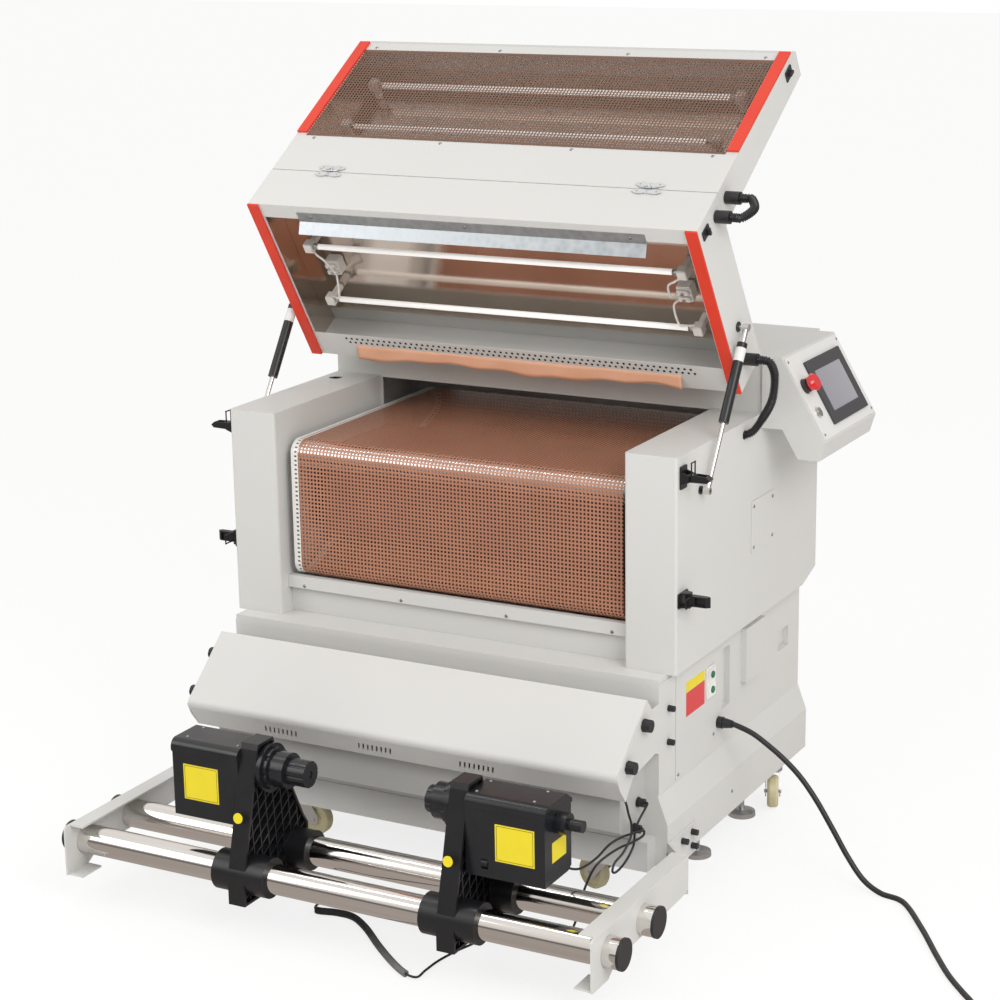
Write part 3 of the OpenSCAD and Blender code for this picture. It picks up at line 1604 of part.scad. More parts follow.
sensor_lead_route = from_socket([
    [0, -97, 201],
    [6, -97, 201],
    [10, -114, 197],
    [-1, -148, 193],
    [-11, -174, 192],
    [-25, -206, 184],
    [-39, -232, 168],
    [-51, -244, 138],
    [-63, -248, 100],
    [-75, -246, 54],
    [-93, -243, 18],
    [-127, -240, 5],
    [-207, -238, 4],
    [-327, -238, 4],
    [-447, -242, 4],
    [-557, -262, 4],
    [-619, -296, 5],
    [-639, -336, 8],
    [-625, -366, 8.5],
    [-581, -358, 8.5],
    [-538, -361, 8.5],
    [-486, -395, 8.5],
    [-419, -455, 8.5],
    [-355, -507, 8.5],
    [-307, -538, 8.5],
    [-281, -538, 7],
    [-284, -500, 4],
    [-283, -450, 3],
    [-272, -394, 3],
    [-257, -350, 4],
    [-235, -352, 24],
    [-221, -388, 46],
    [-219, -400, 60],
    [-219, -400, 69.6]
]);

module lead(route, rings, radius_at) {
    pts = [for (i = [0 : rings]) curve_at(route, i / rings)];
    color(c_black) place() sweep(pts, [for (i = [0 : rings]) lookup(i / rings * (len(route) - 1), radius_at)], 8, [0, 0, 1]);
}

module winder_leads() {
    wire = 2.5;
    sleeve = 7.5;
    thin = 2;
    lead(cover_lead_route, 48, [[0, wire], [1, wire]]);
    lead(unit_lead_route, 30, [[0, wire], [1, wire]]);
    lead(sensor_lead_route, 80, [[0, wire], [17.6, wire], [18, sleeve], [24, sleeve], [24.4, thin], [32, thin]]);
}

base_cabinet();
left_cheek();
right_cheek();
rear_housing();
front_panel();
mesh_belt();
belt_roller();
fan_box();
cooling_cover();
thumb_screws();
control_box();
control_face();
touch_panel();
stop_button();
key_switch();
side_plates();
cable_glands();
winder_plates();
winder_tubes();
levelling_feet();
caster_fork_fl();
caster_fork_fr();
caster_fork_rl();
caster_fork_rr();
caster_wheel_fl();
caster_wheel_fr();
caster_wheel_rl();
caster_wheel_rr();
side_fittings();
latch_lever_ul();
latch_lever_ur();
latch_lever_ll();
latch_lever_lr();
lid_shell();
lid_lamps();
lid_seals();
lid_hardware();
lid_flap();
door_shell();
door_guard();
door_lamps();
door_seals();
door_hardware();
strut_rod_left();
strut_rod_right();
strut_tube_left();
strut_tube_right();
lid_conduit();
door_conduit();
left_arm();
left_housing();
left_chuck();
right_arm();
right_housing();
right_chuck();
rocker_switch();
mains_cord();
mains_coil();
mains_plug();
winder_leads();
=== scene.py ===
import math
import bmesh
import bpy
from mathutils import Matrix, Vector


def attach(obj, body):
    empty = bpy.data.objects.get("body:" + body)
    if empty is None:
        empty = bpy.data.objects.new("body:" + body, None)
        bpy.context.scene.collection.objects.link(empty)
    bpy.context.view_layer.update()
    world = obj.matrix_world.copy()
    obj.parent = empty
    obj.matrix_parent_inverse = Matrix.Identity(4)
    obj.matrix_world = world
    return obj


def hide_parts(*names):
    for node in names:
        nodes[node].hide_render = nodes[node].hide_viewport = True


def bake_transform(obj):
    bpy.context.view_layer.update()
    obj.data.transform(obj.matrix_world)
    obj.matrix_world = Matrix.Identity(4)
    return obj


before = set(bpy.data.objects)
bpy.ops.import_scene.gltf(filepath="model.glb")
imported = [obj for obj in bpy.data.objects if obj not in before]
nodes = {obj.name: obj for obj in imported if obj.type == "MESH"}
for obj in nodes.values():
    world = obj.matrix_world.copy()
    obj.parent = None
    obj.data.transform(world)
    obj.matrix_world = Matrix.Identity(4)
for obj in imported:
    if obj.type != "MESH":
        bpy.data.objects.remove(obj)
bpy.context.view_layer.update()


# Camera: a long lens high at the machine's right front corner, a little turned
# about its own axis, as the photograph was taken.

def mm(x, y, z):
    """A place on the machine, in millimetres from the cheek fronts and the floor, in the frame."""
    return Vector(((x - 15.5) / 1000, (y - 115) / 1000, z / 1000))


def placed(name, data):
    """A new object of the scene that shows a mesh, a curve, a lamp or the camera."""
    piece = bpy.data.objects.new(name, data)
    bpy.context.scene.collection.objects.link(piece)
    return piece


yaw, pitch, roll = (math.radians(a) for a in (28.03, 14.79, -0.79))
ahead = Vector((-math.sin(yaw) * math.cos(pitch), math.cos(yaw) * math.cos(pitch), -math.sin(pitch)))
level = ahead.cross(Vector((0, 0, 1))).normalized()
above = level.cross(ahead)
across = level * math.cos(roll) + above * math.sin(roll)
upward = above * math.cos(roll) - level * math.sin(roll)
lens = bpy.data.cameras.new("studio_camera")
lens.sensor_width = 36
lens.lens = 84.94
lens.shift_x, lens.shift_y = -0.0218, -0.0066
lens.clip_end = 60
camera = placed("studio_camera", lens)
camera_turn = Matrix((across, upward, -ahead)).transposed().to_4x4()
camera.matrix_world = Matrix.Translation(mm(2415.2, -4184.2, 2109.85)) @ camera_turn
bpy.context.scene.camera = camera


# Mains lead: black rubber, 12 mm thick, from the gland on the right side down to
# the floor and out of view, its spare length wound in a flat coil that ends in the plug.

def add_node(tree, kind, sockets=(), **settings):
    """One node of a tree with its settings; each socket is set to a value or linked to another node's output."""
    made = tree.nodes.new(kind)
    for name, value in settings.items():
        setattr(made, name, value)
    for name, value in dict(sockets).items():
        if isinstance(value, bpy.types.NodeSocket):
            tree.links.new(value, made.inputs[name])
        else:
            made.inputs[name].default_value = value
    return made


class Wave:
    """A number that changes over a surface. Sums and products of it become Math nodes."""

    def __init__(self, finish, socket):
        self.finish = finish
        self.socket = socket

    def maths(self, operation, *terms):
        return self.finish.node("ShaderNodeMath", {"operation": operation}, dict(enumerate(terms)))

    def __add__(self, other):
        return self.maths("ADD", self, other)

    def __sub__(self, other):
        return self.maths("SUBTRACT", self, other)

    def __rsub__(self, other):
        return self.maths("SUBTRACT", other, self)

    def __mul__(self, other):
        return self.maths("MULTIPLY", self, other)

    def __truediv__(self, other):
        return self.maths("DIVIDE", self, other)

    def __gt__(self, other):
        return self.maths("GREATER_THAN", self, other)

    def __lt__(self, other):
        return self.maths("LESS_THAN", self, other)

    def __abs__(self):
        return self.maths("ABSOLUTE", self)

    def share(self):
        return self.maths("FRACT", self)

    def sine(self):
        return self.maths("SINE", self)

    __radd__ = __add__
    __rmul__ = __mul__


class Finish:
    """One procedural finish: a Principled shader, and the nodes that feed what changes over the surface."""

    def __init__(self, name, **sockets):
        self.material = bpy.data.materials.new(name)
        self.material.use_nodes = True
        self.tree = self.material.node_tree
        self.shader = self.tree.nodes["Principled BSDF"]
        for socket, value in sockets.items():
            self.shader.inputs[socket.replace("_", " ")].default_value = value
        self.place = self.node("ShaderNodeTexCoord", {}, {}, "Object")

    def node(self, kind, settings, sockets, out=0):
        sockets = {name: value.socket if isinstance(value, Wave) else value for name, value in sockets.items()}
        return Wave(self, add_node(self.tree, kind, sockets, **settings).outputs[out])

    def noise(self, scale, detail=3, stretch=(1, 1, 1), place=None):
        spot = self.node("ShaderNodeMapping", {}, {"Vector": place or self.place, "Scale": stretch})
        return self.node("ShaderNodeTexNoise", {}, {"Vector": spot, "Scale": scale, "Detail": detail})

    def axes(self, place=None):
        split = add_node(self.tree, "ShaderNodeSeparateXYZ", {0: (place or self.place).socket})
        return [Wave(self, socket) for socket in split.outputs]

    def mix(self, mask, first, second):
        return self.node("ShaderNodeMix", {"data_type": "RGBA"}, {0: mask, 6: first, 7: second}, 2)

    def feed(self, socket, wave):
        self.tree.links.new(wave.socket, self.shader.inputs[socket])
        return self

    def bump(self, height, strength, distance):
        sockets = {"Height": height, "Strength": strength, "Distance": distance}
        return self.feed("Normal", self.node("ShaderNodeBump", {}, sockets))

    def cloudy(self, scale, detail, dark, light, stretch=(1, 1, 1)):
        """The colour wanders between a dark and a light tone."""
        return self.mix(self.noise(scale, detail, stretch), (*dark, 1), (*light, 1))


def times(tone, share):
    return [t * share for t in tone]


def rubber(name, tone, roughness):
    finish = Finish(name, Roughness=roughness)
    finish.feed("Base Color", finish.cloudy(60, 3, times(tone, 0.8), times(tone, 1.25)))
    finish.feed("Roughness", finish.noise(180) * 0.16 + (roughness - 0.08))
    return finish.bump(finish.noise(1400), 0.12, 0.0004)


sheath = rubber("lead_sheath", (0.018, 0.018, 0.019), 0.42)


def smooth_line(points, steps):
    """The even curve through the points, the same that the solids follow."""
    line = []
    for i in range(len(points) - 1):
        a, b, c, d = (points[max(i - 1, 0)], points[i], points[i + 1], points[min(i + 2, len(points) - 1)])
        for k in range(steps):
            f = k / steps
            bend, twist = 2 * a - 5 * b + 4 * c - d, 3 * b - a - 3 * c + d
            line.append(0.5 * (2 * b + (c - a) * f + bend * f * f + twist * f ** 3))
    return line + [points[-1]]


def run_length(line):
    return sum((b - a).length for a, b in zip(line, line[1:]))


def round_cord(name, line, radius, finish, body):
    curve = bpy.data.curves.new(name, "CURVE")
    curve.dimensions = "3D"
    curve.bevel_depth = radius
    curve.bevel_resolution = 4
    curve.use_fill_caps = True
    spline = curve.splines.new("POLY")
    spline.points.add(len(line) - 1)
    for point, spot in zip(spline.points, line):
        point.co = (*spot, 1)
    curve.materials.append(finish.material)
    piece = placed(name, curve)
    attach(piece, body)
    return piece


lead_exit = 544.3
lead_points = [
    (0, 271, 317), (12, 271, 317), (54, 271, 304), (92, 271, 282), (131, 270, 255), (168, 268, 223),
    (206, 264, 179), (246, 258, 123), (284, 252, 68), (322, 245, 26), (364, 236, 7), (423, 213, 7),
    (496, 112, 7), (561, 8, 7), (611, -68, 7), (656, -124, 7), (690, -164, 7), (718, -214, 7),
]
coil_turns = 3.25
coil_start = 206
coil_radius, coil_pitch, layer_rise = 78, 13.4, 13.2
tail_length, tail_drop = 0.076, 0.010


def coil_point(s):
    """A place in the coil after s turns: inwards on the floor, then outwards on top of itself."""
    turns_in = s if s < coil_turns / 2 else coil_turns - s
    r = coil_radius - turns_in * coil_pitch
    rise = min(max((s - coil_turns / 2 + 0.25) * 2, 0), 1)
    a = math.radians(coil_start + s * 360)
    return mm(lead_exit + 816 + r * math.cos(a), -250 + r * math.sin(a), 7 + rise * layer_rise)


coil_end = math.radians(coil_start + coil_turns * 360 + 90)
tail_way = Vector((tail_length * math.cos(coil_end), tail_length * math.sin(coil_end), -tail_drop))
plug_at = coil_point(coil_turns) + tail_way
lead_line = smooth_line([mm(lead_exit + x, y, z) for x, y, z in lead_points] + [coil_point(0)], 8)[:-1]
lead_line += [coil_point(i / 36) for i in range(int(coil_turns * 36) + 1)]
lead_line += [coil_point(coil_turns).lerp(plug_at, f) for f in (0.35, 0.7, 0.9, 1)]
mains_lead = round_cord("mains_lead", lead_line, 0.006, sheath, "machine")
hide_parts("mains_cord", "mains_coil")
run_length(lead_line)


def wear(finish, *names):
    """A CAD node shows this finish."""
    for name in names:
        nodes[name].data.materials.clear()
        nodes[name].data.materials.append(finish.material)


# Plug and glands: moulded black plastic with a fine spark-eroded grain.

def moulded(name, tone, roughness, grain):
    finish = Finish(name)
    finish.feed("Base Color", finish.cloudy(22, 3, times(tone, 0.75), times(tone, 1.3)))
    finish.feed("Roughness", finish.noise(9, 5) * 0.22 + (roughness - 0.11))
    return finish.bump(finish.noise(grain, 2), 0.16, 0.0003)


black_plastic = moulded("black_moulding", (0.016, 0.016, 0.018), 0.36, 1500)
wear(black_plastic, "mains_plug", "cable_glands")


# Studio: a white floor and surroundings that the camera sees as plain white, a broad
# soft light from the right, a weaker one from the left, a narrow strip above the belt and
# darker walls for the metal to mirror.

floor_finish = bpy.data.materials.new("studio_floor")
floor_finish.use_nodes = True
floor_tree = floor_finish.node_tree
floor_tree.nodes.clear()
floor_rays = add_node(floor_tree, "ShaderNodeLightPath")
floor_glow = add_node(floor_tree, "ShaderNodeEmission")
floor_dull = add_node(floor_tree, "ShaderNodeBsdfDiffuse", {"Color": (0.94, 0.94, 0.94, 1)})
floor_mirrored = add_node(floor_tree, "ShaderNodeEmission", {"Color": (0.42, 0.375, 0.345, 1)})
floor_share = add_node(floor_tree, "ShaderNodeMath", {0: floor_rays.outputs["Is Camera Ray"], 1: 0.80},
                       operation="MULTIPLY")
floor_mix = add_node(floor_tree, "ShaderNodeMixShader", {
    0: floor_share.outputs[0], 1: floor_dull.outputs[0], 2: floor_glow.outputs[0]})
floor_choice = add_node(floor_tree, "ShaderNodeMixShader", {
    0: floor_rays.outputs["Is Glossy Ray"], 1: floor_mix.outputs[0], 2: floor_mirrored.outputs[0]})
add_node(floor_tree, "ShaderNodeOutputMaterial", {0: floor_choice.outputs[0]})
floor_half = 30
floor_mesh = bpy.data.meshes.new("studio_floor")
floor_corners = (-1, -1), (1, -1), (1, 1), (-1, 1)
floor_mesh.from_pydata([(x * floor_half, y * floor_half, 0) for x, y in floor_corners], [], [(0, 1, 2, 3)])
floor_mesh.materials.append(floor_finish)
bpy.context.scene.view_settings.view_transform = "Standard"
placed("studio_floor", floor_mesh)

sky = bpy.data.worlds.new("studio")
bpy.context.scene.world = sky
sky.use_nodes = True
sky_tree = sky.node_tree
sky_way = add_node(sky_tree, "ShaderNodeTexCoord")
sky_split = add_node(sky_tree, "ShaderNodeSeparateXYZ", {0: sky_way.outputs["Generated"]})
sky_half = add_node(sky_tree, "ShaderNodeMath", {0: sky_split.outputs["Z"], 1: 0.5, 2: 0.5}, operation="MULTIPLY_ADD")
sky_ramp = add_node(sky_tree, "ShaderNodeValToRGB", {0: sky_half.outputs[0]})
sky_ramp.color_ramp.elements.remove(sky_ramp.color_ramp.elements[0])
sky_tones = (0.0, 0.55), (0.49, 0.45), (0.51, 0.20), (0.58, 0.16), (0.63, 0.80), (0.80, 1.0), (1.0, 0.85)
for place, tone in sky_tones:
    stop = sky_ramp.color_ramp.elements.new(place)
    stop.color = (tone, tone * 0.96, tone * 0.92, 1)
sky_light = sky_tree.nodes["Background"]
sky_light.inputs["Strength"].default_value = 0.92
sky_tree.links.new(sky_ramp.outputs[0], sky_light.inputs["Color"])
sky_white = add_node(sky_tree, "ShaderNodeBackground", {"Color": (1, 1, 1, 1)})
sky_rays = add_node(sky_tree, "ShaderNodeLightPath")
sky_mix = add_node(sky_tree, "ShaderNodeMixShader", {
    0: sky_rays.outputs["Is Camera Ray"], 1: sky_light.outputs[0], 2: sky_white.outputs[0]})
sky_tree.links.new(sky_mix.outputs[0], sky_tree.nodes["World Output"].inputs[0])

lit_spot = Vector((0, 0, 0.8))
for name, spot, power in (("key_light", (3.4, -2.2, 3.0), 90), ("fill_light", (-3.0, -3.0, 2.6), 36)):
    glow = bpy.data.lights.new(name, "AREA")
    glow.size = 2.4
    glow.energy = power
    aim = (lit_spot - Vector(spot)).to_track_quat("-Z", "Y").to_matrix().to_4x4()
    placed(name, glow).matrix_world = Matrix.Translation(spot) @ aim


strip = bpy.data.lights.new("strip_light", "AREA")
strip.shape = "RECTANGLE"
strip.size, strip.size_y = 1.1, 0.07
strip.energy = 5
strip_turn = Matrix.Rotation(math.radians(-16), 4, "X")
placed("strip_light", strip).matrix_world = Matrix.Translation((-1.0, -0.6, 2.6)) @ strip_turn


# Cabinet: bent sheet steel, powder coated warm light grey with a fine orange-peel
# texture.

def powder_coat(name, tone):
    finish = Finish(name, Metallic=0.0, IOR=1.48)
    finish.feed("Base Color", finish.cloudy(2.2, 4, times(tone, 0.955), times(tone, 1.03)))
    finish.feed("Roughness", finish.noise(7, 4) * 0.14 + 0.38)
    return finish.bump(finish.noise(620, 2), 0.10, 0.0005)


coat = powder_coat("warm_grey_coat", (0.640, 0.640, 0.622))
# The fan box under the cooling cover wears a darker copy of the same coat: painted shade.
shade_painted_coat = powder_coat("painted_shade_grey_coat", (0.500, 0.498, 0.480))
wear(coat, "base_cabinet", "left_cheek", "right_cheek", "rear_housing", "front_panel", "cooling_cover",
     "control_box", "control_face", "side_plates", "winder_plates", "lid_shell", "door_shell")
wear(shade_painted_coat, "fan_box")


# Feet, casters and thumb screws: zinc-plated steel, cream nylon wheels and black knobs.

def plated(name, tone, roughness, streak):
    finish = Finish(name, Metallic=1.0)
    finish.feed("Base Color", finish.cloudy(14, 4, times(tone, 0.86), tone, streak))
    finish.feed("Roughness", finish.noise(30, 5, streak) * 0.16 + (roughness - 0.06))
    return finish.bump(finish.noise(260, 2, streak), 0.05, 0.0004)


zinc = plated("zinc_plate", (0.66, 0.67, 0.68), 0.32, (1, 1, 1))
bright = plated("bright_plate", (0.83, 0.82, 0.80), 0.10, (1, 1, 1))
cream_nylon = moulded("cream_nylon", (0.60, 0.54, 0.34), 0.42, 500)
corners = "fl", "fr", "rl", "rr"
wear(zinc, "levelling_feet", *["caster_fork_" + c for c in corners])
wear(cream_nylon, *["caster_wheel_" + c for c in corners])
wear(black_plastic, "thumb_screws")


# Leads of the take-up: a loop from the cooling cover to the fan box, and the unit
# lead to the right drive box. Black PVC, 5 mm thick, pushed into round sockets.

socket_x = 506.6
thin_lead = 0.0025
lead_steps = 6


def strand(name, points):
    """A thin lead through points counted from the side's sockets in millimetres; also the line that it follows."""
    line = smooth_line([mm(socket_x + x, y, z) for x, y, z in points], lead_steps)
    return round_cord(name, line, thin_lead, sheath, "machine"), line


def as_mesh(piece, body=None):
    """The piece with its modifiers and curves worked out, as one plain mesh at the origin."""
    solid = bpy.data.meshes.new_from_object(piece.evaluated_get(bpy.context.evaluated_depsgraph_get()))
    solid.transform(piece.matrix_world)
    name = piece.name
    bpy.data.objects.remove(piece)
    plain = placed(name, solid)
    if body:
        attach(plain, body)
    return plain


cover_points = [
    (-7, -190, 334), (-2, -184, 312), (1, -172, 288), (1, -161, 262), (4, -154, 238), (6, -160, 214),
    (1, -184, 188), (-8, -206, 172), (-9, -216, 158), (-9, -204, 149), (-9, -176, 149), (-7, -146, 160),
    (-4, -126, 180), (-3, -122, 206), (2, -114, 230), (6, -82, 254), (0, -80, 255),
]
unit_points = [
    (0, -104, 209), (6, -104, 209), (10, -118, 211), (1, -146, 213), (-8, -170, 214), (-23, -200, 206),
    (-33, -245, 190), (-47, -290, 184), (-58, -332, 204), (-63, -346, 226), (-65, -358, 234), (-65, -367.6, 234),
]
cover_lead, cover_line = strand("cover_lead", cover_points)
run_length(cover_line)
unit_curve, unit_line = strand("unit_lead", unit_points)
unit_lead = as_mesh(unit_curve)
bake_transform(unit_lead)
run_length(unit_line)


# Sensor lead: from the fan box down to the floor, through a 15 mm braided sleeve whose
# worn end has gone grey, and up into the foot of the right arm.

sensor_points = [
    (0, -97, 201), (6, -97, 201), (10, -114, 197), (-1, -148, 193), (-11, -174, 192), (-25, -206, 184),
    (-39, -232, 168), (-51, -244, 138), (-63, -248, 100), (-75, -246, 54), (-93, -243, 18), (-127, -240, 5),
    (-207, -238, 4), (-327, -238, 4), (-447, -242, 4), (-557, -262, 4), (-619, -296, 5), (-639, -336, 8),
    (-625, -366, 8.5), (-581, -358, 8.5), (-538, -361, 8.5), (-486, -395, 8.5), (-419, -455, 8.5),
    (-355, -507, 8.5), (-307, -538, 8.5), (-281, -538, 7), (-284, -500, 4), (-283, -450, 3), (-272, -394, 3),
    (-257, -350, 4), (-235, -352, 24), (-221, -388, 46), (-219, -400, 60), (-219, -400, 69.6),
]
sensor_curve, sensor_line = strand("sensor_lead", sensor_points)
braid = Finish("braided_sleeve", Roughness=0.55)
sleeve_x, sleeve_y, _ = braid.axes()
worn = (sleeve_x * 7 - 0.35) + braid.noise(40) * 0.5
plait = (sleeve_x * 900 + sleeve_y * 500).sine() * (sleeve_x * 500 - sleeve_y * 900).sine()
worn_share = braid.node("ShaderNodeClamp", {}, {0: worn})
braid.feed("Base Color", braid.mix(worn_share, (0.014, 0.014, 0.015, 1), (0.16, 0.16, 0.155, 1)))
braid.bump(plait, 0.25, 0.0006)
sleeve_line = sensor_line[18 * lead_steps:24 * lead_steps + 1]
sleeve = round_cord("sensor_sleeve", sleeve_line, 0.0075, braid, "machine")
sensor_lead = as_mesh(sensor_curve)
tuple(mm(250, -352, 10))
tuple(mm(288, -400, 66))
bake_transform(sensor_lead)
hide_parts("winder_leads")
run_length(sensor_line)


# Ribbed conduits: black nylon corrugated hose, 19 mm, one over the seam of the door
# and one from the lid down into the right cheek, pushed into round plugs.

lid_turn = math.radians(57.5)
lid_c, lid_s = math.cos(lid_turn), math.sin(lid_turn)
hinge_y, hinge_z = 448, 1102


def lid_mm(x, y, z):
    """A place drawn on the closed lid, in millimetres, as a point of the frame with the lid open."""
    dy, dz = y - hinge_y, z - hinge_z
    return mm(x, hinge_y + dy * lid_c + dz * lid_s, hinge_z - dy * lid_s + dz * lid_c)


def geometry_tree(name, **inputs):
    """A geometry tree with named inputs, the identifiers that a modifier knows them by, and the inputs themselves."""
    tree = bpy.data.node_groups.new(name, "GeometryNodeTree")
    tree.interface.new_socket(name="Geometry", in_out="OUTPUT", socket_type="NodeSocketGeometry")
    for label, value in inputs.items():
        number = isinstance(value, float)
        kind = "NodeSocket" + ("Float" if number else value)
        made = tree.interface.new_socket(name=label.replace("_", " "), in_out="INPUT", socket_type=kind)
        if number:
            made.default_value = value
    names = {item.name: item.identifier for item in tree.interface.items_tree
             if item.item_type == "SOCKET" and item.in_out == "INPUT"}
    return tree, names, tree.nodes.new("NodeGroupInput").outputs


def dressed(tree, made, surface):
    """The end of a geometry tree: what the tree made, in one material."""
    real = add_node(tree, "GeometryNodeRealizeInstances", {0: made.outputs[0]})
    coated = add_node(tree, "GeometryNodeSetMaterial", {"Geometry": real.outputs[0], "Material": surface})
    add_node(tree, "NodeGroupOutput", {0: coated.outputs[0]})


def worked(piece, tree, names, values, body=None):
    """The piece after the tree, with the named inputs set, as a plain mesh riding on the body."""
    modifier = piece.modifiers.new(tree.name, "NODES")
    modifier.node_group = tree
    for name, value in values.items():
        modifier[names[name]] = value
    return as_mesh(piece, body)


hose_tree, hose_names, hose_in = geometry_tree(
    "ribbed_hose", Path="Geometry", Radius=0.008, Rib_Height=0.0015, Rib_Pitch=0.0042, Surface="Material")


def geometry_maths(operation, a, b=0, tree=hose_tree):
    return add_node(tree, "ShaderNodeMath", {0: a, 1: b}, operation=operation).outputs[0]


hose_fine = add_node(hose_tree, "GeometryNodeMeshToCurve", {"Mesh": hose_in["Path"]})
hose_run = add_node(hose_tree, "GeometryNodeResampleCurve", {"Curve": hose_fine.outputs[0], "Length": 0.0007},
                    mode="LENGTH")
hose_place = add_node(hose_tree, "GeometryNodeSplineParameter")
hose_angle = geometry_maths("MULTIPLY", hose_place.outputs["Length"], math.tau)
hose_wave = geometry_maths("SINE", geometry_maths("DIVIDE", hose_angle, hose_in["Rib Pitch"]))
hose_floor = geometry_maths("MAXIMUM", geometry_maths("MULTIPLY", hose_wave, 1.6), -0.6)
hose_rise = geometry_maths("MULTIPLY", geometry_maths("MINIMUM", hose_floor, 1), hose_in["Rib Height"])
hose_scale = geometry_maths("ADD", hose_in["Radius"], hose_rise)
hose_ring = add_node(hose_tree, "GeometryNodeCurvePrimitiveCircle", {"Resolution": 20, "Radius": 1.0})
hose_skin = add_node(hose_tree, "GeometryNodeCurveToMesh", {
    "Curve": hose_run.outputs[0], "Profile Curve": hose_ring.outputs[0], "Scale": hose_scale, "Fill Caps": True})
hose_smooth = add_node(hose_tree, "GeometryNodeSetShadeSmooth", {"Geometry": hose_skin.outputs[0]})
dressed(hose_tree, hose_smooth, hose_in["Surface"])


def path_mesh(name, line):
    mesh = bpy.data.meshes.new(name)
    mesh.from_pydata([tuple(v) for v in line], [(i, i + 1) for i in range(len(line) - 1)], [])
    return placed(name, mesh)


def off(a, x, y, z):
    return a + Vector((x, y, z)) / 1000


plug_end = 569.6
seam_y, lid_plug_y = 36, 390
door_hose_a = lid_mm(plug_end, seam_y, 1123.8)
door_hose_b = lid_mm(plug_end, seam_y, 1063.3)
lid_hose_a = lid_mm(plug_end, lid_plug_y, 1021.3)
door_hose_line = smooth_line([
    door_hose_a, off(door_hose_a, 12, 0, 0), off(door_hose_a, 25, -1, -1),
    off((door_hose_a + door_hose_b) / 2, 40, 0, 0),
    off(door_hose_b, 25, 1, 1), off(door_hose_b, 12, 0, 0), door_hose_b], 8)
lid_hose_line = smooth_line([
    lid_hose_a, off(lid_hose_a, 12, 0, 0), off(lid_hose_a, 26, 2, -4), off(lid_hose_a, 33, 12, -34),
    off(lid_hose_a, 28, 12, -86), mm(574, 366, 978), mm(556, 356, 950), mm(539, 350, 942)], 8)
hose_values = {"Surface": black_plastic.material}
door_hose = worked(path_mesh("door_hose", door_hose_line), hose_tree, hose_names, hose_values)
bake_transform(door_hose)
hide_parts("door_conduit")
lid_hose = worked(path_mesh("lid_hose", lid_hose_line), hose_tree, hose_names, hose_values)
tuple(mm(539, 350, 942))
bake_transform(lid_hose)
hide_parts("lid_conduit")


# Mesh belt: open glass-fibre cloth coated brown, an endless strip over the rollers,
# its left edge bound with a white woven tape that has a row of stitch holes.

def loop_line(radius, centres, step):
    """The line of a belt round three rollers, in the side view (Y, Z), in millimetres."""
    line = []
    count = len(centres)
    for i, c in enumerate(centres):
        before, after = centres[i - 1], centres[(i + 1) % count]
        a = math.atan2(c[1] - before[1], c[0] - before[0]) + math.pi / 2
        b = math.atan2(after[1] - c[1], after[0] - c[0]) + math.pi / 2
        while b > a:
            b -= math.tau
        turns = max(int((a - b) * radius / step), 1)
        angles = [a + (b - a) * k / turns for k in range(turns + 1)]
        line += [(c[0] + radius * math.cos(t), c[1] + radius * math.sin(t)) for t in angles]
    return line


roller_y, roller_z = 64.3, 872.7
belt_half, belt_radius = 405, 31.8
belt_wide = 2 * belt_half / 1000
belt_line = loop_line(belt_radius, [(roller_y, 628), (roller_y, roller_z), (640, roller_z)], 5)
belt_line.append(belt_line[0])
bend = [i for i, (y, z) in enumerate(belt_line) if y < roller_y and z > roller_z]
bend_start, bend_end = min(bend), max(bend)
belt_mesh = bpy.data.meshes.new("belt_cloth")
belt_bm = bmesh.new()
belt_uv = belt_bm.loops.layers.uv.new("cloth")
belt_lengths = [0]
for (y0, z0), (y1, z1) in zip(belt_line, belt_line[1:]):
    belt_lengths.append(belt_lengths[-1] + math.hypot(y1 - y0, z1 - z0) / 1000)
belt_cols = [[belt_bm.verts.new(mm(x, y, z)) for x in (-belt_half, belt_half)] for y, z in belt_line[:-1]]
for i in range(len(belt_line) - 1):
    a, b = belt_cols[i], belt_cols[(i + 1) % len(belt_cols)]
    face = belt_bm.faces.new((a[0], a[1], b[1], b[0]))
    face.smooth = True
    near, far = belt_lengths[i:i + 2]
    for loop, uv in zip(face.loops, ((0, near), (belt_wide, near), (belt_wide, far), (0, far))):
        loop[belt_uv].uv = uv
bmesh.ops.recalc_face_normals(belt_bm, faces=belt_bm.faces)
belt_bm.to_mesh(belt_mesh)
belt_cloth = placed("belt_cloth", belt_mesh)
weave = Finish("brown_mesh_cloth", Roughness=0.42, Coat_Roughness=0.16)
cloth_u, cloth_v, _ = weave.axes(weave.node("ShaderNodeUVMap", {"uv_map": "cloth"}, {}))


def strands(across, along, pitch_u, pitch_v, share_u, share_v):
    """1 on a strand and 0 in a hole, and how high the strand stands."""
    du = abs((across / pitch_u).share() - 0.5) * 2
    dv = abs((along / pitch_v).share() - 0.5) * 2
    return (du < share_u).maths("MAXIMUM", du < share_u, dv < share_v), du.maths("MINIMUM", du, dv)


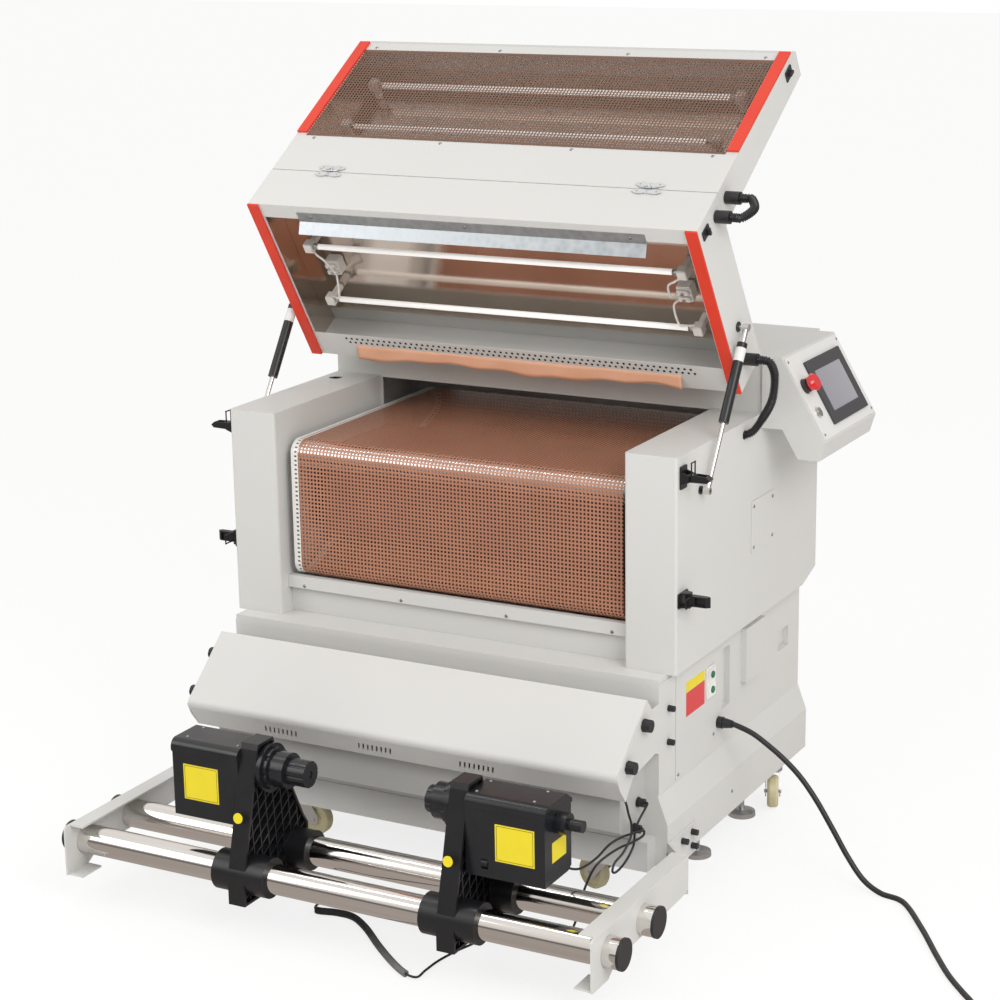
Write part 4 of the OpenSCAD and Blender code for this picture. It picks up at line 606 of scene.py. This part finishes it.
tape_wide, stitch_pitch = 0.018, 0.010
cloth_mask, cloth_high = strands(cloth_u, cloth_v, 0.0088, 0.0088, 0.46, 0.46)
tape = cloth_u < tape_wide
# The stitch holes are not cut; they are painted as dark spots on the tape: painted shade.
stitch = (abs((cloth_v / stitch_pitch).share() - 0.5) < 0.2) * (abs(cloth_u - 0.012) < 0.003)
weave.feed("Alpha", cloth_mask.maths("MAXIMUM", cloth_mask, tape))
cloth_tone = weave.cloudy(9, 4, (0.37, 0.160, 0.094), (0.49, 0.222, 0.136))
cloth_tone = weave.mix(tape, cloth_tone, (0.82, 0.81, 0.78, 1))
weave.feed("Base Color", weave.mix(stitch, cloth_tone, (0.10, 0.09, 0.08, 1)))
pressed_flat = (cloth_v > belt_lengths[bend_start]) * (cloth_v < belt_lengths[bend_end])
weave.feed("Coat Weight", pressed_flat * 0.9)
weave.bump(cloth_high * (1 - pressed_flat * 0.7), -0.4, 0.0006)
belt_cloth.data.materials.append(weave.material)
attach(belt_cloth, "machine")
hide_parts("mesh_belt")


# Inside of the tunnel: a dark brown sheet of painted shade behind the belt, which
# shows through the cloth as the deep shade of the inside.

def worn_by(name, shape, finish, body):
    """The worked shape as a piece of one finish that rides on the body."""
    mesh = bpy.data.meshes.new(name)
    shape.to_mesh(mesh)
    shape.free()
    mesh.materials.append(finish.material)
    piece = placed(name, mesh)
    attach(piece, body)
    return piece


box_bits = (0, 0, 0), (1, 0, 0), (1, 1, 0), (0, 1, 0), (0, 0, 1), (1, 0, 1), (1, 1, 1), (0, 1, 1)


def boxes(name, finish, body, corners, at=mm, bevel=0.0006):
    """Plates and blocks given by two opposite corners in millimetres, their edges slightly broken."""
    shape = bmesh.new()
    for ends in corners:
        spots = [shape.verts.new(at(*[ends[bit][i] for i, bit in enumerate(bits)])) for bits in box_bits]
        for quad in ((0, 3, 2, 1), (4, 5, 6, 7), (0, 1, 5, 4), (1, 2, 6, 5), (2, 3, 7, 6), (3, 0, 4, 7)):
            shape.faces.new([spots[i] for i in quad])
    bmesh.ops.recalc_face_normals(shape, faces=shape.faces)
    if bevel:
        bmesh.ops.bevel(shape, geom=shape.edges[:], offset=bevel, segments=2, affect="EDGES")
    return worn_by(name, shape, finish, body)


def rods(name, finish, body, runs, sides=24, at=mm):
    """Round bars, each from one place to another in millimetres with a radius at both ends."""
    shape = bmesh.new()
    for start, end, r0, r1 in runs:
        a, b = at(*start), at(*end)
        axis = (b - a).normalized()
        side = axis.orthogonal().normalized()
        up = axis.cross(side)
        ways = [side * math.cos(t) + up * math.sin(t) for t in [k * math.tau / sides for k in range(sides)]]
        rings = [[shape.verts.new(spot + way * r / 1000) for way in ways] for spot, r in ((a, r0), (b, r1))]
        for k in range(sides):
            face = shape.faces.new((rings[0][k], rings[0][(k + 1) % sides], rings[1][(k + 1) % sides], rings[1][k]))
            face.smooth = True
        shape.faces.new(rings[0][::-1])
        shape.faces.new(rings[1])
    return worn_by(name, shape, finish, body)


tunnel_shade_finish = moulded("tunnel_painted_shade", (0.034, 0.018, 0.012), 0.40, 300)
boxes("tunnel_painted_shade", tunnel_shade_finish, "machine", [
    ((-402, 150, 664), (402, 152, 858)), ((-402, 152, 856), (402, 440, 858)),
    ((-402, 112, 690), (-398, 150, 858)), ((398, 112, 690), (402, 150, 858))])


# Painted shade behind the vent slots of the cooling cover: a black strip inside the
# sloping underside, so that the slots look black.

def chin_mm(x, up, inward):
    """A place in the cover's chin: along the machine, up the inner face and away from it, in millimetres."""
    return mm(x, -198 - up * 0.514 + inward * 0.857, 304 + up * 0.857 + inward * 0.514)


vent_painted_shade = moulded("vent_painted_shade", (0.006, 0.006, 0.006), 0.9, 200)
boxes("vent_shade_strip", vent_painted_shade, "machine", [((-440, 3, 0.5), (440, 50, 1.1))], chin_mm, 0)


# Bearing bars: zinc-plated blocks on both sides of the belt, where the front roller's
# bearings sit.

boxes("bearing_bars", zinc, "machine",
      [((-423, 97, 820), (-407, 137, 852)), ((407, 97, 820), (423, 137, 852))], bevel=0.001)


# Door guard: the same brown cloth with closer rows, stretched over the door's window
# on a frame wire, so that the lamps and the mirror show through it in stripes.

guard_wide, guard_high = 1020, 316
guard_base = 1215.8
guard_corners = (0, 0), (guard_wide, 0), (guard_wide, guard_high), (0, guard_high)
guard_mesh = bpy.data.meshes.new("door_guard_cloth")
guard_spots = [tuple(lid_mm(x - guard_wide / 2, -1.0, guard_base + z)) for x, z in guard_corners]
guard_mesh.from_pydata(guard_spots, [], [(0, 1, 2, 3)])
guard_uv = guard_mesh.uv_layers.new(name="cloth")
for loop, (u, v) in zip(guard_uv.data, guard_corners):
    loop.uv = u / 1000, v / 1000
guard_cloth = placed("door_guard_cloth", guard_mesh)
guard_weave = Finish("striped_mesh_cloth", Roughness=0.38)
guard_u, guard_v, _ = guard_weave.axes(guard_weave.node("ShaderNodeUVMap", {"uv_map": "cloth"}, {}))
guard_mask, guard_rise = strands(guard_u, guard_v, 0.0080, 0.0084, 0.44, 0.34)
guard_edge = abs(guard_v - 0.158) > 0.151
guard_weave.feed("Alpha", guard_mask.maths("MAXIMUM", guard_mask, guard_edge))
# The guard's brown is painted about half as bright as the belt's: painted shade of the door's inner face.
guard_weave.feed("Base Color", guard_weave.cloudy(8, 4, (0.125, 0.058, 0.034), (0.20, 0.098, 0.060)))
guard_weave.bump(guard_rise, -0.4, 0.0006)
guard_cloth.data.materials.append(guard_weave.material)
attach(guard_cloth, "door")
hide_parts("door_guard")


# Lid and door: powder-coated boxes lined with bright heat reflector sheet, which has
# gone slightly bronze and wavy, and shows only inside the boxes.

middle_x = mm(0, 0, 0).x
lining_half = 0.5362


def lined_box(name, low_y, high_y, low_z, high_z):
    """Paint outside and heat reflector inside the given sides of the cavity, drawn on the closed lid."""
    finish = Finish(name, IOR=1.48)
    x, y, z = finish.axes()
    hinge = mm(0, hinge_y, hinge_z)
    lid_y = (y - hinge.y) * lid_c - (z - hinge.z) * lid_s + hinge_y / 1000
    lid_z = (y - hinge.y) * lid_s + (z - hinge.z) * lid_c + hinge_z / 1000
    inner = (lid_y > low_y / 1000) * (lid_y < high_y / 1000) * (lid_z > low_z / 1000) * (lid_z < high_z / 1000)
    inner = inner * (abs(x - middle_x) < lining_half)
    paint = finish.cloudy(2.2, 4, (0.608, 0.608, 0.591), (0.665, 0.665, 0.647))
    bright_sheet = finish.cloudy(5, 3, (0.62, 0.52, 0.45), (0.88, 0.81, 0.74))
    finish.feed("Base Color", finish.mix(inner, paint, bright_sheet))
    finish.feed("Metallic", inner)
    finish.feed("Roughness", (finish.noise(7, 4) * 0.14 + 0.38) * (1 - inner) + inner * 0.09)
    return finish.bump(finish.noise(3.5, 2) * inner * 6 + finish.noise(620, 2) * 0.4, 0.12, 0.0012)


wear(lined_box("lid_box_finish", 3, 443, 978.2, 1092), "lid_shell")
wear(lined_box("door_box_finish", 3, 73, 1099, 1560), "door_shell")


# Quartz lamps: two in the lid and two in the door, milky tubes with pinched steel ends
# in ceramic holders on stamped feet.

# The tubes carry a faint white emission: a painted glow.
quartz = Finish("milky_quartz_painted_glow", Roughness=0.12, IOR=1.46, Emission_Strength=0.35)
quartz.feed("Base Color", quartz.cloudy(30, 3, (0.86, 0.86, 0.84), (0.93, 0.92, 0.90)))
quartz.shader.inputs["Emission Color"].default_value = (1, 0.97, 0.93, 1)
ceramic = moulded("ceramic_holder", (0.74, 0.72, 0.68), 0.45, 240)
lamp_places = {"lid": [(153, 1017.3), (309, 1017.3)], "door": [(34, 1295.8), (34, 1445.8)]}
lamp_end, glass_end, cap_end, pin_end = 466, 432, 446, 462
tube_radius, cap_radius, pin_radius = 6.5, 7.4, 4
for box, spots in lamp_places.items():
    runs = [((-glass_end, y, z), (glass_end, y, z), tube_radius, tube_radius) for y, z in spots]
    tubes = rods(box + "_quartz_tubes", quartz, box, runs, 24, lid_mm)
    ends = []
    for y, z in spots:
        for side in (-1, 1):
            ends += [((side * glass_end, y, z), (side * cap_end, y, z), cap_radius, cap_radius),
                     ((side * cap_end, y, z), (side * pin_end, y, z), pin_radius, pin_radius)]
    caps = rods(box + "_lamp_caps", zinc, box, ends, 20, lid_mm)
    holders = []
    for y, z in spots:
        for side in (-1, 1):
            x0, x1 = sorted((side * (lamp_end - 22), side * lamp_end))
            holders.append(((x0, y - 12, z - 12), (x1, y + 12, z + 11)))
            back = (y - 7, z + 11, y + 7, z + 45) if box == "lid" else (y + 11, z - 7, y + 36, z + 7)
            holders.append(((x0 + 4, back[0], back[1]), (x1 - 4, back[2], back[3])))
    blocks = boxes(box + "_lamp_holders", ceramic, box, holders, lid_mm, 0.0016)
    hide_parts(box + "_lamps")


# Terminal blocks and lamp wires: white ceramic blocks at both ends of the lid, each
# with brass screws, and white glass-fibre insulated wires to the holders.

terminal_corners, terminal_screws = [], []
for side in (-1, 1):
    x0, x1 = sorted((side * 416, side * 450))
    terminal_corners += [((x0, 211, 1034), (x1, 251, 1062)), ((x0 + 3, 216, 1026), (x1 - 3, 228, 1034)),
                         ((x0 + 3, 234, 1026), (x1 - 3, 246, 1034))]
    terminal_screws += [((side * 433, y, 1026), (side * 433, y, 1023.5), 4, 3.6) for y in (222, 240)]
boxes("terminal_blocks", ceramic, "lid", terminal_corners, lid_mm, 0.002)
rods("terminal_screws", zinc, "lid", terminal_screws, 16, lid_mm)
white_wire = rubber("glass_fibre_wire", (0.72, 0.70, 0.66), 0.6)
for i, (side, y0, y1) in enumerate(((-1, 222, 165), (-1, 240, 297), (1, 222, 165), (1, 240, 297))):
    bow = 18 if i % 2 else -14
    wire_points = ((424, y0, 1028), (414, y0 + bow * 0.2, 1012), (420, (y0 + y1) / 2 + bow, 1002),
                   (436, y1 - bow * 0.3, 1006), (448, y1, 1014))
    wire_line = smooth_line([lid_mm(side * x, y, z) for x, y, z in wire_points], 8)
    wire = round_cord("lamp_wire_%d" % i, wire_line, 0.0024, white_wire, "lid")


# Seals: red silicone strips along the sides of the lid and the door, moulded with a
# slightly crowned face and a dull bloom.

silicone = Finish("red_silicone", Roughness=0.46, Sheen_Weight=0.03)
silicone.feed("Base Color", silicone.cloudy(12, 4, (0.66, 0.030, 0.008), (0.77, 0.046, 0.014)))
silicone.bump(silicone.noise(500, 2), 0.15, 0.0003)
wear(silicone, "lid_seals", "door_seals")


# Deflector and small metalwork of the lid: galvanised sheet with its crystal pattern,
# black strikes and hose plugs at the sides.

spangle = Finish("galvanised_sheet")
spangle_x, _, _ = spangle.axes()
outside = abs(spangle_x - middle_x) > 0.5371
crystals = spangle.node("ShaderNodeTexVoronoi", {}, {"Vector": spangle.place, "Scale": 60}, 0)
flake = spangle.mix(crystals, (0.46, 0.50, 0.53, 1), (0.66, 0.70, 0.73, 1))
spangle.feed("Base Color", spangle.mix(outside, flake, (0.018, 0.018, 0.02, 1)))
spangle.feed("Metallic", 1 - outside)
spangle.feed("Roughness", crystals * 0.2 + 0.28)
wear(spangle, "lid_hardware", "door_hardware")


# Flap under the lid: a peach silicone skin clamped along one edge, its free edge wavy
# where the heat has drawn it.

flap_half, flap_low, flap_long = 405, 975, 40
flap_cols = 90
flap_mesh = bpy.data.meshes.new("silicone_flap")
flap_bm = bmesh.new()
flap_root = lid_mm(0, 410, flap_low)
flap_hang = Vector((0, math.sin(math.radians(12)), -math.cos(math.radians(12)))) / 1000
flap_rows = []
for i in range(flap_cols + 1):
    x = -flap_half + 2 * flap_half * i / flap_cols
    drop = flap_long * (0.80 + 0.12 * math.sin(x * 0.013 + 0.6) + 0.06 * math.sin(x * 0.051))
    column = []
    for k in range(5):
        sway = Vector((x, 1.6 * math.sin(x * 0.035 + k * 0.5) * k / 4, 0)) / 1000
        column.append(flap_bm.verts.new(flap_root + flap_hang * drop * k / 4 + sway))
    flap_rows.append(column)
for a, b in zip(flap_rows, flap_rows[1:]):
    for k in range(4):
        flap_bm.faces.new((a[k], a[k + 1], b[k + 1], b[k])).smooth = True
flap_bm.to_mesh(flap_mesh)
flap = placed("silicone_flap", flap_mesh)
flap_skin = Finish("peach_silicone", Roughness=0.5)
flap_skin.feed("Base Color", flap_skin.cloudy(18, 4, (0.70, 0.36, 0.22), (0.82, 0.46, 0.30)))
flap_skin.bump(flap_skin.noise(90), 0.2, 0.0008)
flap_mesh.materials.append(flap_skin.material)
flap_wall = flap.modifiers.new("thickness", "SOLIDIFY")
flap_wall.thickness = 0.001
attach(flap, "lid")
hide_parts("lid_flap")


# Touch panel, stop button and key switch: a dark grey bezel round a pale violet-grey
# glass, a glossy red mushroom button in a black collar, and a plated key barrel.

face_turn = math.atan2(178, 103)
face_c, face_s = math.cos(face_turn), math.sin(face_turn)


def face_mm(u, v, w):
    """A place on the control face: U back along the box, V down the slope, W out of it, in millimetres."""
    return mm(584 + v * face_c + w * face_s, 444 + u, 1096 - v * face_s + w * face_c)


def on_face(finish):
    """The same U and V over a surface, in metres."""
    x, y, z = finish.axes()
    corner = mm(584, 444, 1096)
    return y - corner.y, (x - corner.x) * face_c - (z - corner.z) * face_s


glass = Finish("panel_and_glass", IOR=1.5)
glass_u, glass_v = on_face(glass)
pane = (abs(glass_u - 0.183) < 0.0760) * (abs(glass_v - 0.106) < 0.0480)
# The pane gets lighter towards the back of the box: a painted reflection on the glass.
glow = (glass_u - 0.107) * 3.2 + glass.noise(6) * 0.12
pane_tone = glass.mix(glass.node("ShaderNodeClamp", {}, {0: glow}), (0.30, 0.295, 0.33, 1), (0.44, 0.43, 0.46, 1))
glass.feed("Base Color", glass.mix(pane, (0.052, 0.052, 0.058, 1), pane_tone))
glass.feed("Roughness", 0.42 - pane * 0.34 + glass.noise(80) * 0.04)
glass.bump(glass.noise(900, 2) * (1 - pane), 0.12, 0.0003)
wear(glass, "touch_panel")

red_gloss = Finish("red_button", Roughness=0.16, Coat_Weight=0.5)
red_gloss.feed("Base Color", red_gloss.cloudy(40, 3, (0.60, 0.010, 0.014), (0.74, 0.020, 0.022)))
red_gloss.bump(red_gloss.noise(300), 0.05, 0.0003)
wear(red_gloss, "stop_button")

panel_coat = Finish("control_face_coat", IOR=1.48)
coat_u, coat_v = on_face(panel_coat)


def round_spot(u, v, u0, v0, radius):
    return ((u - u0) * (u - u0) + (v - v0) * (v - v0)) < radius * radius


collar_spot = round_spot(coat_u, coat_v, 0.036, 0.078, 0.0176)
ring_spot = round_spot(coat_u, coat_v, 0.036, 0.141, 0.0126)
# The face wears a lighter copy of the cabinet coat, where it turns towards the key light: painted light.
panel_tone = panel_coat.cloudy(2.2, 4, (0.70, 0.70, 0.685), (0.76, 0.76, 0.745))
panel_tone = panel_coat.mix(collar_spot, panel_tone, (0.03, 0.03, 0.032, 1))
panel_coat.feed("Base Color", panel_coat.mix(ring_spot, panel_tone, (0.80, 0.80, 0.80, 1)))
panel_coat.feed("Metallic", ring_spot)
panel_coat.feed("Roughness", 0.40 - ring_spot * 0.26 + panel_coat.noise(9) * 0.05)
panel_coat.bump(panel_coat.noise(620, 2), 0.10, 0.0005)
wear(panel_coat, "control_face")
wear(bright, "key_switch", "belt_roller", "strut_rod_left", "strut_rod_right")


# Winder tubes: polished stainless tube, 63 mm, drawn lengthwise, with black plastic
# plugs pressed into their ends.

tube_metal = Finish("stainless_tube")
tube_x, _, _ = tube_metal.axes()
end_plug = abs(tube_x - middle_x) > 0.6496
drawn = tube_metal.noise(120, 4, (0.02, 1, 1))
steel_tone = tube_metal.mix(drawn, (0.70, 0.665, 0.63, 1), (0.86, 0.835, 0.81, 1))
tube_metal.feed("Base Color", tube_metal.mix(end_plug, steel_tone, (0.02, 0.02, 0.022, 1)))
tube_metal.feed("Metallic", 1 - end_plug)
tube_metal.feed("Roughness", drawn * 0.06 + 0.07 + end_plug * 0.3)
tube_metal.bump(drawn, 0.04, 0.0003)
wear(tube_metal, "winder_tubes")


# Take-up units: glass-filled nylon arms and drive boxes, moulded black with a slight
# gloss, their chucks turned to fit a 76 mm core.

def nylon(name, tone, roughness):
    finish = Finish(name, IOR=1.5)
    finish.feed("Base Color", finish.cloudy(16, 4, times(tone, 0.7), times(tone, 1.4)))
    finish.feed("Roughness", finish.noise(28, 5) * 0.18 + (roughness - 0.09))
    return finish.bump(finish.noise(700, 2) + finish.noise(45, 2) * 2, 0.09, 0.0004)


gloss_nylon = nylon("glossy_black_nylon", (0.012, 0.013, 0.016), 0.24)
dull_nylon = nylon("black_arm_nylon", (0.010, 0.010, 0.012), 0.34)
wear(gloss_nylon, "left_housing", "right_housing", "left_chuck", "right_chuck")
wear(dull_nylon, "left_arm", "right_arm", "rocker_switch", "side_fittings",
     *["latch_lever_" + c for c in ("ul", "ur", "ll", "lr")])


# Blank plates: yellow film labels on the drive boxes and arms, a yellow strip over a red
# plate by the mains switch. Printed nothing; the two front labels have a thin darker edge.

def label_film(name, tone):
    finish = Finish(name, Roughness=0.36)
    finish.feed("Base Color", finish.cloudy(40, 3, times(tone, 0.93), tone))
    return finish.bump(finish.noise(900), 0.06, 0.0002)


yellow_film = label_film("yellow_label", (0.86, 0.70, 0.012))
red_film = label_film("red_plate", (0.72, 0.055, 0.060))
dark_line = label_film("label_border", (0.03, 0.028, 0.02))
for unit, x0, x1, z0, z1 in (("left", -358, -272, 259, 336), ("right", 374, 460, 259, 336)):
    boxes(unit + "_front_label", yellow_film, unit + "_unit", [((x0, -480.4, z0), (x1, -480.02, z1))], bevel=0.0001)
    boxes(unit + "_label_border", dark_line, unit + "_unit", [
        ((x0 + 3, -480.5, z), (x1 - 3, -480.38, z + 0.9)) for z in (z0 + 3, z1 - 3.9)] + [
        ((x, -480.5, z0 + 3), (x + 0.9, -480.38, z1 - 3)) for x in (x0 + 3, x1 - 3.9)], bevel=0)
boxes("right_side_label", yellow_film, "right_unit", [((482.31, -450, 262), (482.7, -391, 304))], bevel=0.0001)
for unit, x in (("left", -202), ("right", 288)):
    rods(unit + "_arm_dot", yellow_film, unit + "_unit", [((x, -514.4, 255), (x, -515.6, 255.2), 11, 11)], 32)
boxes("yellow_strip", yellow_film, "machine", [((519.85, 96, 440), (520.25, 192, 462))], bevel=0.0001)
boxes("red_plate", red_film, "machine", [((519.85, 96, 386), (520.25, 192, 438.8))], bevel=0.0001)


# Breaker by the mains inlet: a white moulded switch block with two green push buttons
# standing in a white frame on the side panel.

white_plastic = moulded("white_moulding", (0.80, 0.80, 0.78), 0.32, 700)
green_plastic = moulded("green_moulding", (0.010, 0.16, 0.075), 0.30, 700)
boxes("breaker_block", white_plastic, "machine", [
    ((519.85, 199, 392), (524.5, 240, 462)), ((524.4, 202, 396), (527, 237, 424)),
    ((524.4, 202, 430), (527, 237, 458))], bevel=0.0012)
rods("breaker_buttons", green_plastic, "machine", [((526.9, 219, z), (530, 219, z), 8, 7.2) for z in (410, 444)])


# Recessed grips of the lower cabinet: folded pans of the same coated sheet behind the
# openings in both sides.

pans = []
for side in (-1, 1):
    for y0, y1, z0, z1 in ((290, 334, 340, 476), (615, 679, 372, 420)):
        bottom = (503.6, 504.8, y0 - 1, y1 + 1, z0 - 1, z1 + 1)
        walls = [(503.6, 515.4, *wall) for wall in (
            (y0 - 1, y0 - 0.1, z0 - 1, z1 + 1), (y1 + 0.1, y1 + 1, z0 - 1, z1 + 1),
            (y0 - 1, y1 + 1, z0 - 1, z0 - 0.1), (y0 - 1, y1 + 1, z1 + 0.1, z1 + 1))]
        for deep, open_end, ya, yb, za, zb in (bottom, *walls):
            xa, xb = sorted((side * deep, side * open_end))
            pans.append(((xa, ya, za), (xb, yb, zb)))
boxes("grip_pans", coat, "machine", pans, bevel=0)


# Gas struts: black lacquered tubes with a white band near the top and bright ends on
# ball studs.

strut_coat = Finish("strut_lacquer")
_, strut_y, strut_z = strut_coat.axes()
foot = mm(0, 116, 877)
head_way = Vector((0, 198, 305)).normalized()
along_strut = (strut_y - foot.y) * head_way.y + (strut_z - foot.z) * head_way.z
band = (along_strut > 0.286) * (along_strut < 0.316)
bright_end = along_strut > 0.3276
strut_tone = strut_coat.cloudy(20, 3, (0.010, 0.010, 0.011), (0.022, 0.022, 0.024))
strut_tone = strut_coat.mix(band, strut_tone, (0.75, 0.75, 0.74, 1))
strut_coat.feed("Base Color", strut_coat.mix(bright_end, strut_tone, (0.70, 0.70, 0.71, 1)))
strut_coat.feed("Metallic", bright_end)
strut_coat.feed("Roughness", strut_coat.noise(14) * 0.14 + 0.22)
strut_coat.bump(strut_coat.noise(400), 0.05, 0.0003)
wear(strut_coat, "strut_tube_left", "strut_tube_right")


# Seam hinges of the door: pressed bright steel butterflies, four rounded wings round
# each barrel, two screwed to the lid and two to the door.

wing_front, wing_back = -2.94, -1.75
hinge_xs = -384, 384
seam_z, wing_off = 1095.55, 11


def wings(name, body, way):
    """The rounded wings on one side of both barrels, above the seam or below it."""
    shape = bmesh.new()
    for hinge_x in hinge_xs:
        for side in (-1, 1):
            outline = []
            for k in range(24):
                t = k * math.tau / 24
                reach = 14.5 * math.cos(t) * (1 + 0.10 * math.cos(2 * t))
                outline.append((hinge_x + side * 17 + reach, seam_z + way * (wing_off + 7.2 * math.sin(t))))
            front = [shape.verts.new(lid_mm(x, wing_front, z)) for x, z in outline]
            back = [shape.verts.new(lid_mm(x, wing_back, z)) for x, z in outline]
            shape.faces.new(front)
            shape.faces.new(back[::-1])
            for k in range(24):
                shape.faces.new((front[k], back[k], back[(k + 1) % 24], front[(k + 1) % 24]))
    bmesh.ops.recalc_face_normals(shape, faces=shape.faces)
    return worn_by(name, shape, bright, body)


wings("lid_hinge_wings", "lid", -1)
wings("door_hinge_wings", "door", 1)


# Screws and holes: pan-head screws set along the joints of the sheet metal, and the
# two rows of punched holes in the lid's rear rim.

head_tree, head_names, head_in = geometry_tree(
    "set_screws", Places="Geometry", Head_Radius=0.004, Head_Height=0.0016, Crown_Share=0.7, Surface="Material")
crown = geometry_maths("MULTIPLY", head_in["Head Radius"], head_in["Crown Share"], head_tree)
cap = add_node(head_tree, "GeometryNodeMeshCone", {
    "Vertices": 16, "Radius Top": crown, "Radius Bottom": head_in["Head Radius"], "Depth": head_in["Head Height"]})
facing = add_node(head_tree, "GeometryNodeInputNamedAttribute", {0: "facing"}, data_type="FLOAT_VECTOR")
turned = add_node(head_tree, "FunctionNodeAlignRotationToVector", {"Vector": facing.outputs[0]}, axis="Z")
set_on = add_node(head_tree, "GeometryNodeInstanceOnPoints", {
    "Points": head_in["Places"], "Instance": cap.outputs["Mesh"], "Rotation": turned.outputs[0]})
dressed(head_tree, set_on, head_in["Surface"])


def set_screws(name, body, spots, finish, **sizes):
    """Heads at places of the frame, each with the direction that it faces."""
    mesh = bpy.data.meshes.new(name)
    mesh.from_pydata([tuple(spot) for spot, way in spots], [], [])
    ways = mesh.attributes.new("facing", "FLOAT_VECTOR", "POINT")
    for item, (spot, way) in zip(ways.data, spots):
        item.vector = way
    return worked(placed(name, mesh), head_tree, head_names, {"Surface": finish.material, **sizes}, body)


def facing_on_lid(y, z):
    return lid_mm(0, y, z) - lid_mm(0, 0, 0)


lid_front = facing_on_lid(-1, 0).normalized()
lid_under = facing_on_lid(0, -1).normalized()
grey_screw = plated("grey_screw_zinc", (0.36, 0.37, 0.38), 0.34, (1, 1, 1))
set_screws("door_screws", "door", [
    (lid_mm(x, 0, z), lid_front) for z in (1208, 1541) for x in (-485, -160, 160, 485)], grey_screw)
set_screws("deflector_screws", "lid", [(lid_mm(x, 29, 974.2), lid_under) for x in (-383, 0, 383)], grey_screw)
countersunk = {"Head Radius": 0.0026, "Head Height": 0.00028}
for name, body, way in (("wing_screws", "lid", -1), ("wing_screws_upper", "door", 1)):
    set_screws(name, body, [
        (lid_mm(x + dx, wing_front + 0.25, seam_z + way * wing_off), lid_front)
        for x in hinge_xs for dx in (-22, 22)], grey_screw, **countersunk)
right_way, front_way, back_way = Vector((1, 0, 0)), Vector((0, -1, 0)), Vector((0, 1, 0))
cabinet_spots = [(mm(541.9, y, z), right_way) for y, z in ((404, 772), (404, 680), (510, 770), (510, 682))]
cabinet_spots += [(mm(519.9, y, z), right_way) for y, z in ((56, 500), (56, 272), (242, 500), (242, 300))]
cabinet_spots += [(mm(x, 30, 574), front_way) for x in (-380, -130, 130, 380)]
cabinet_spots += [(mm(side * x, 786.4, z), back_way) for side in (-1, 1) for x in (525, 180) for z in (560, 800, 1070)]
cabinet_spots += [(mm(side * 540, y, 150), Vector((side, 0, 0))) for side in (-1, 1) for y in (300, 560)]
set_screws("cabinet_screws", "machine", cabinet_spots, grey_screw)
face_way = Vector((face_s, 0, face_c))
set_screws("control_face_screws", "machine", [
    (face_mm(u, v, 2.4), face_way) for u in (14, 304) for v in (16, 190)], grey_screw, **{"Head Radius": 0.0034})
for unit, sign, x0 in (("left", -1, -222), ("right", 1, 308)):
    spots = [(mm(x0 + sign * dx, y, 386), Vector((0, 0, 1))) for dx in (14, 140) for y in (-455, -398)]
    set_screws(unit + "_box_screws", unit + "_unit", spots, grey_screw, **{"Head Radius": 0.0032})

# The punched holes are flat black discs: painted shade of the holes.
hole_shade_finish = moulded("painted_hole_shade", (0.010, 0.010, 0.010), 0.8, 100)
hole_pitch = 14.3
rim_holes = [(lid_mm(-426 + hole_pitch * i + offset, y, 975.3), lid_under)
             for offset, y in ((0, 391), (7.1, 402)) for i in range(61)]
set_screws("rim_holes", "lid", rim_holes, hole_shade_finish,
           **{"Head Radius": 0.0030, "Head Height": 0.0004, "Crown Share": 0.99})
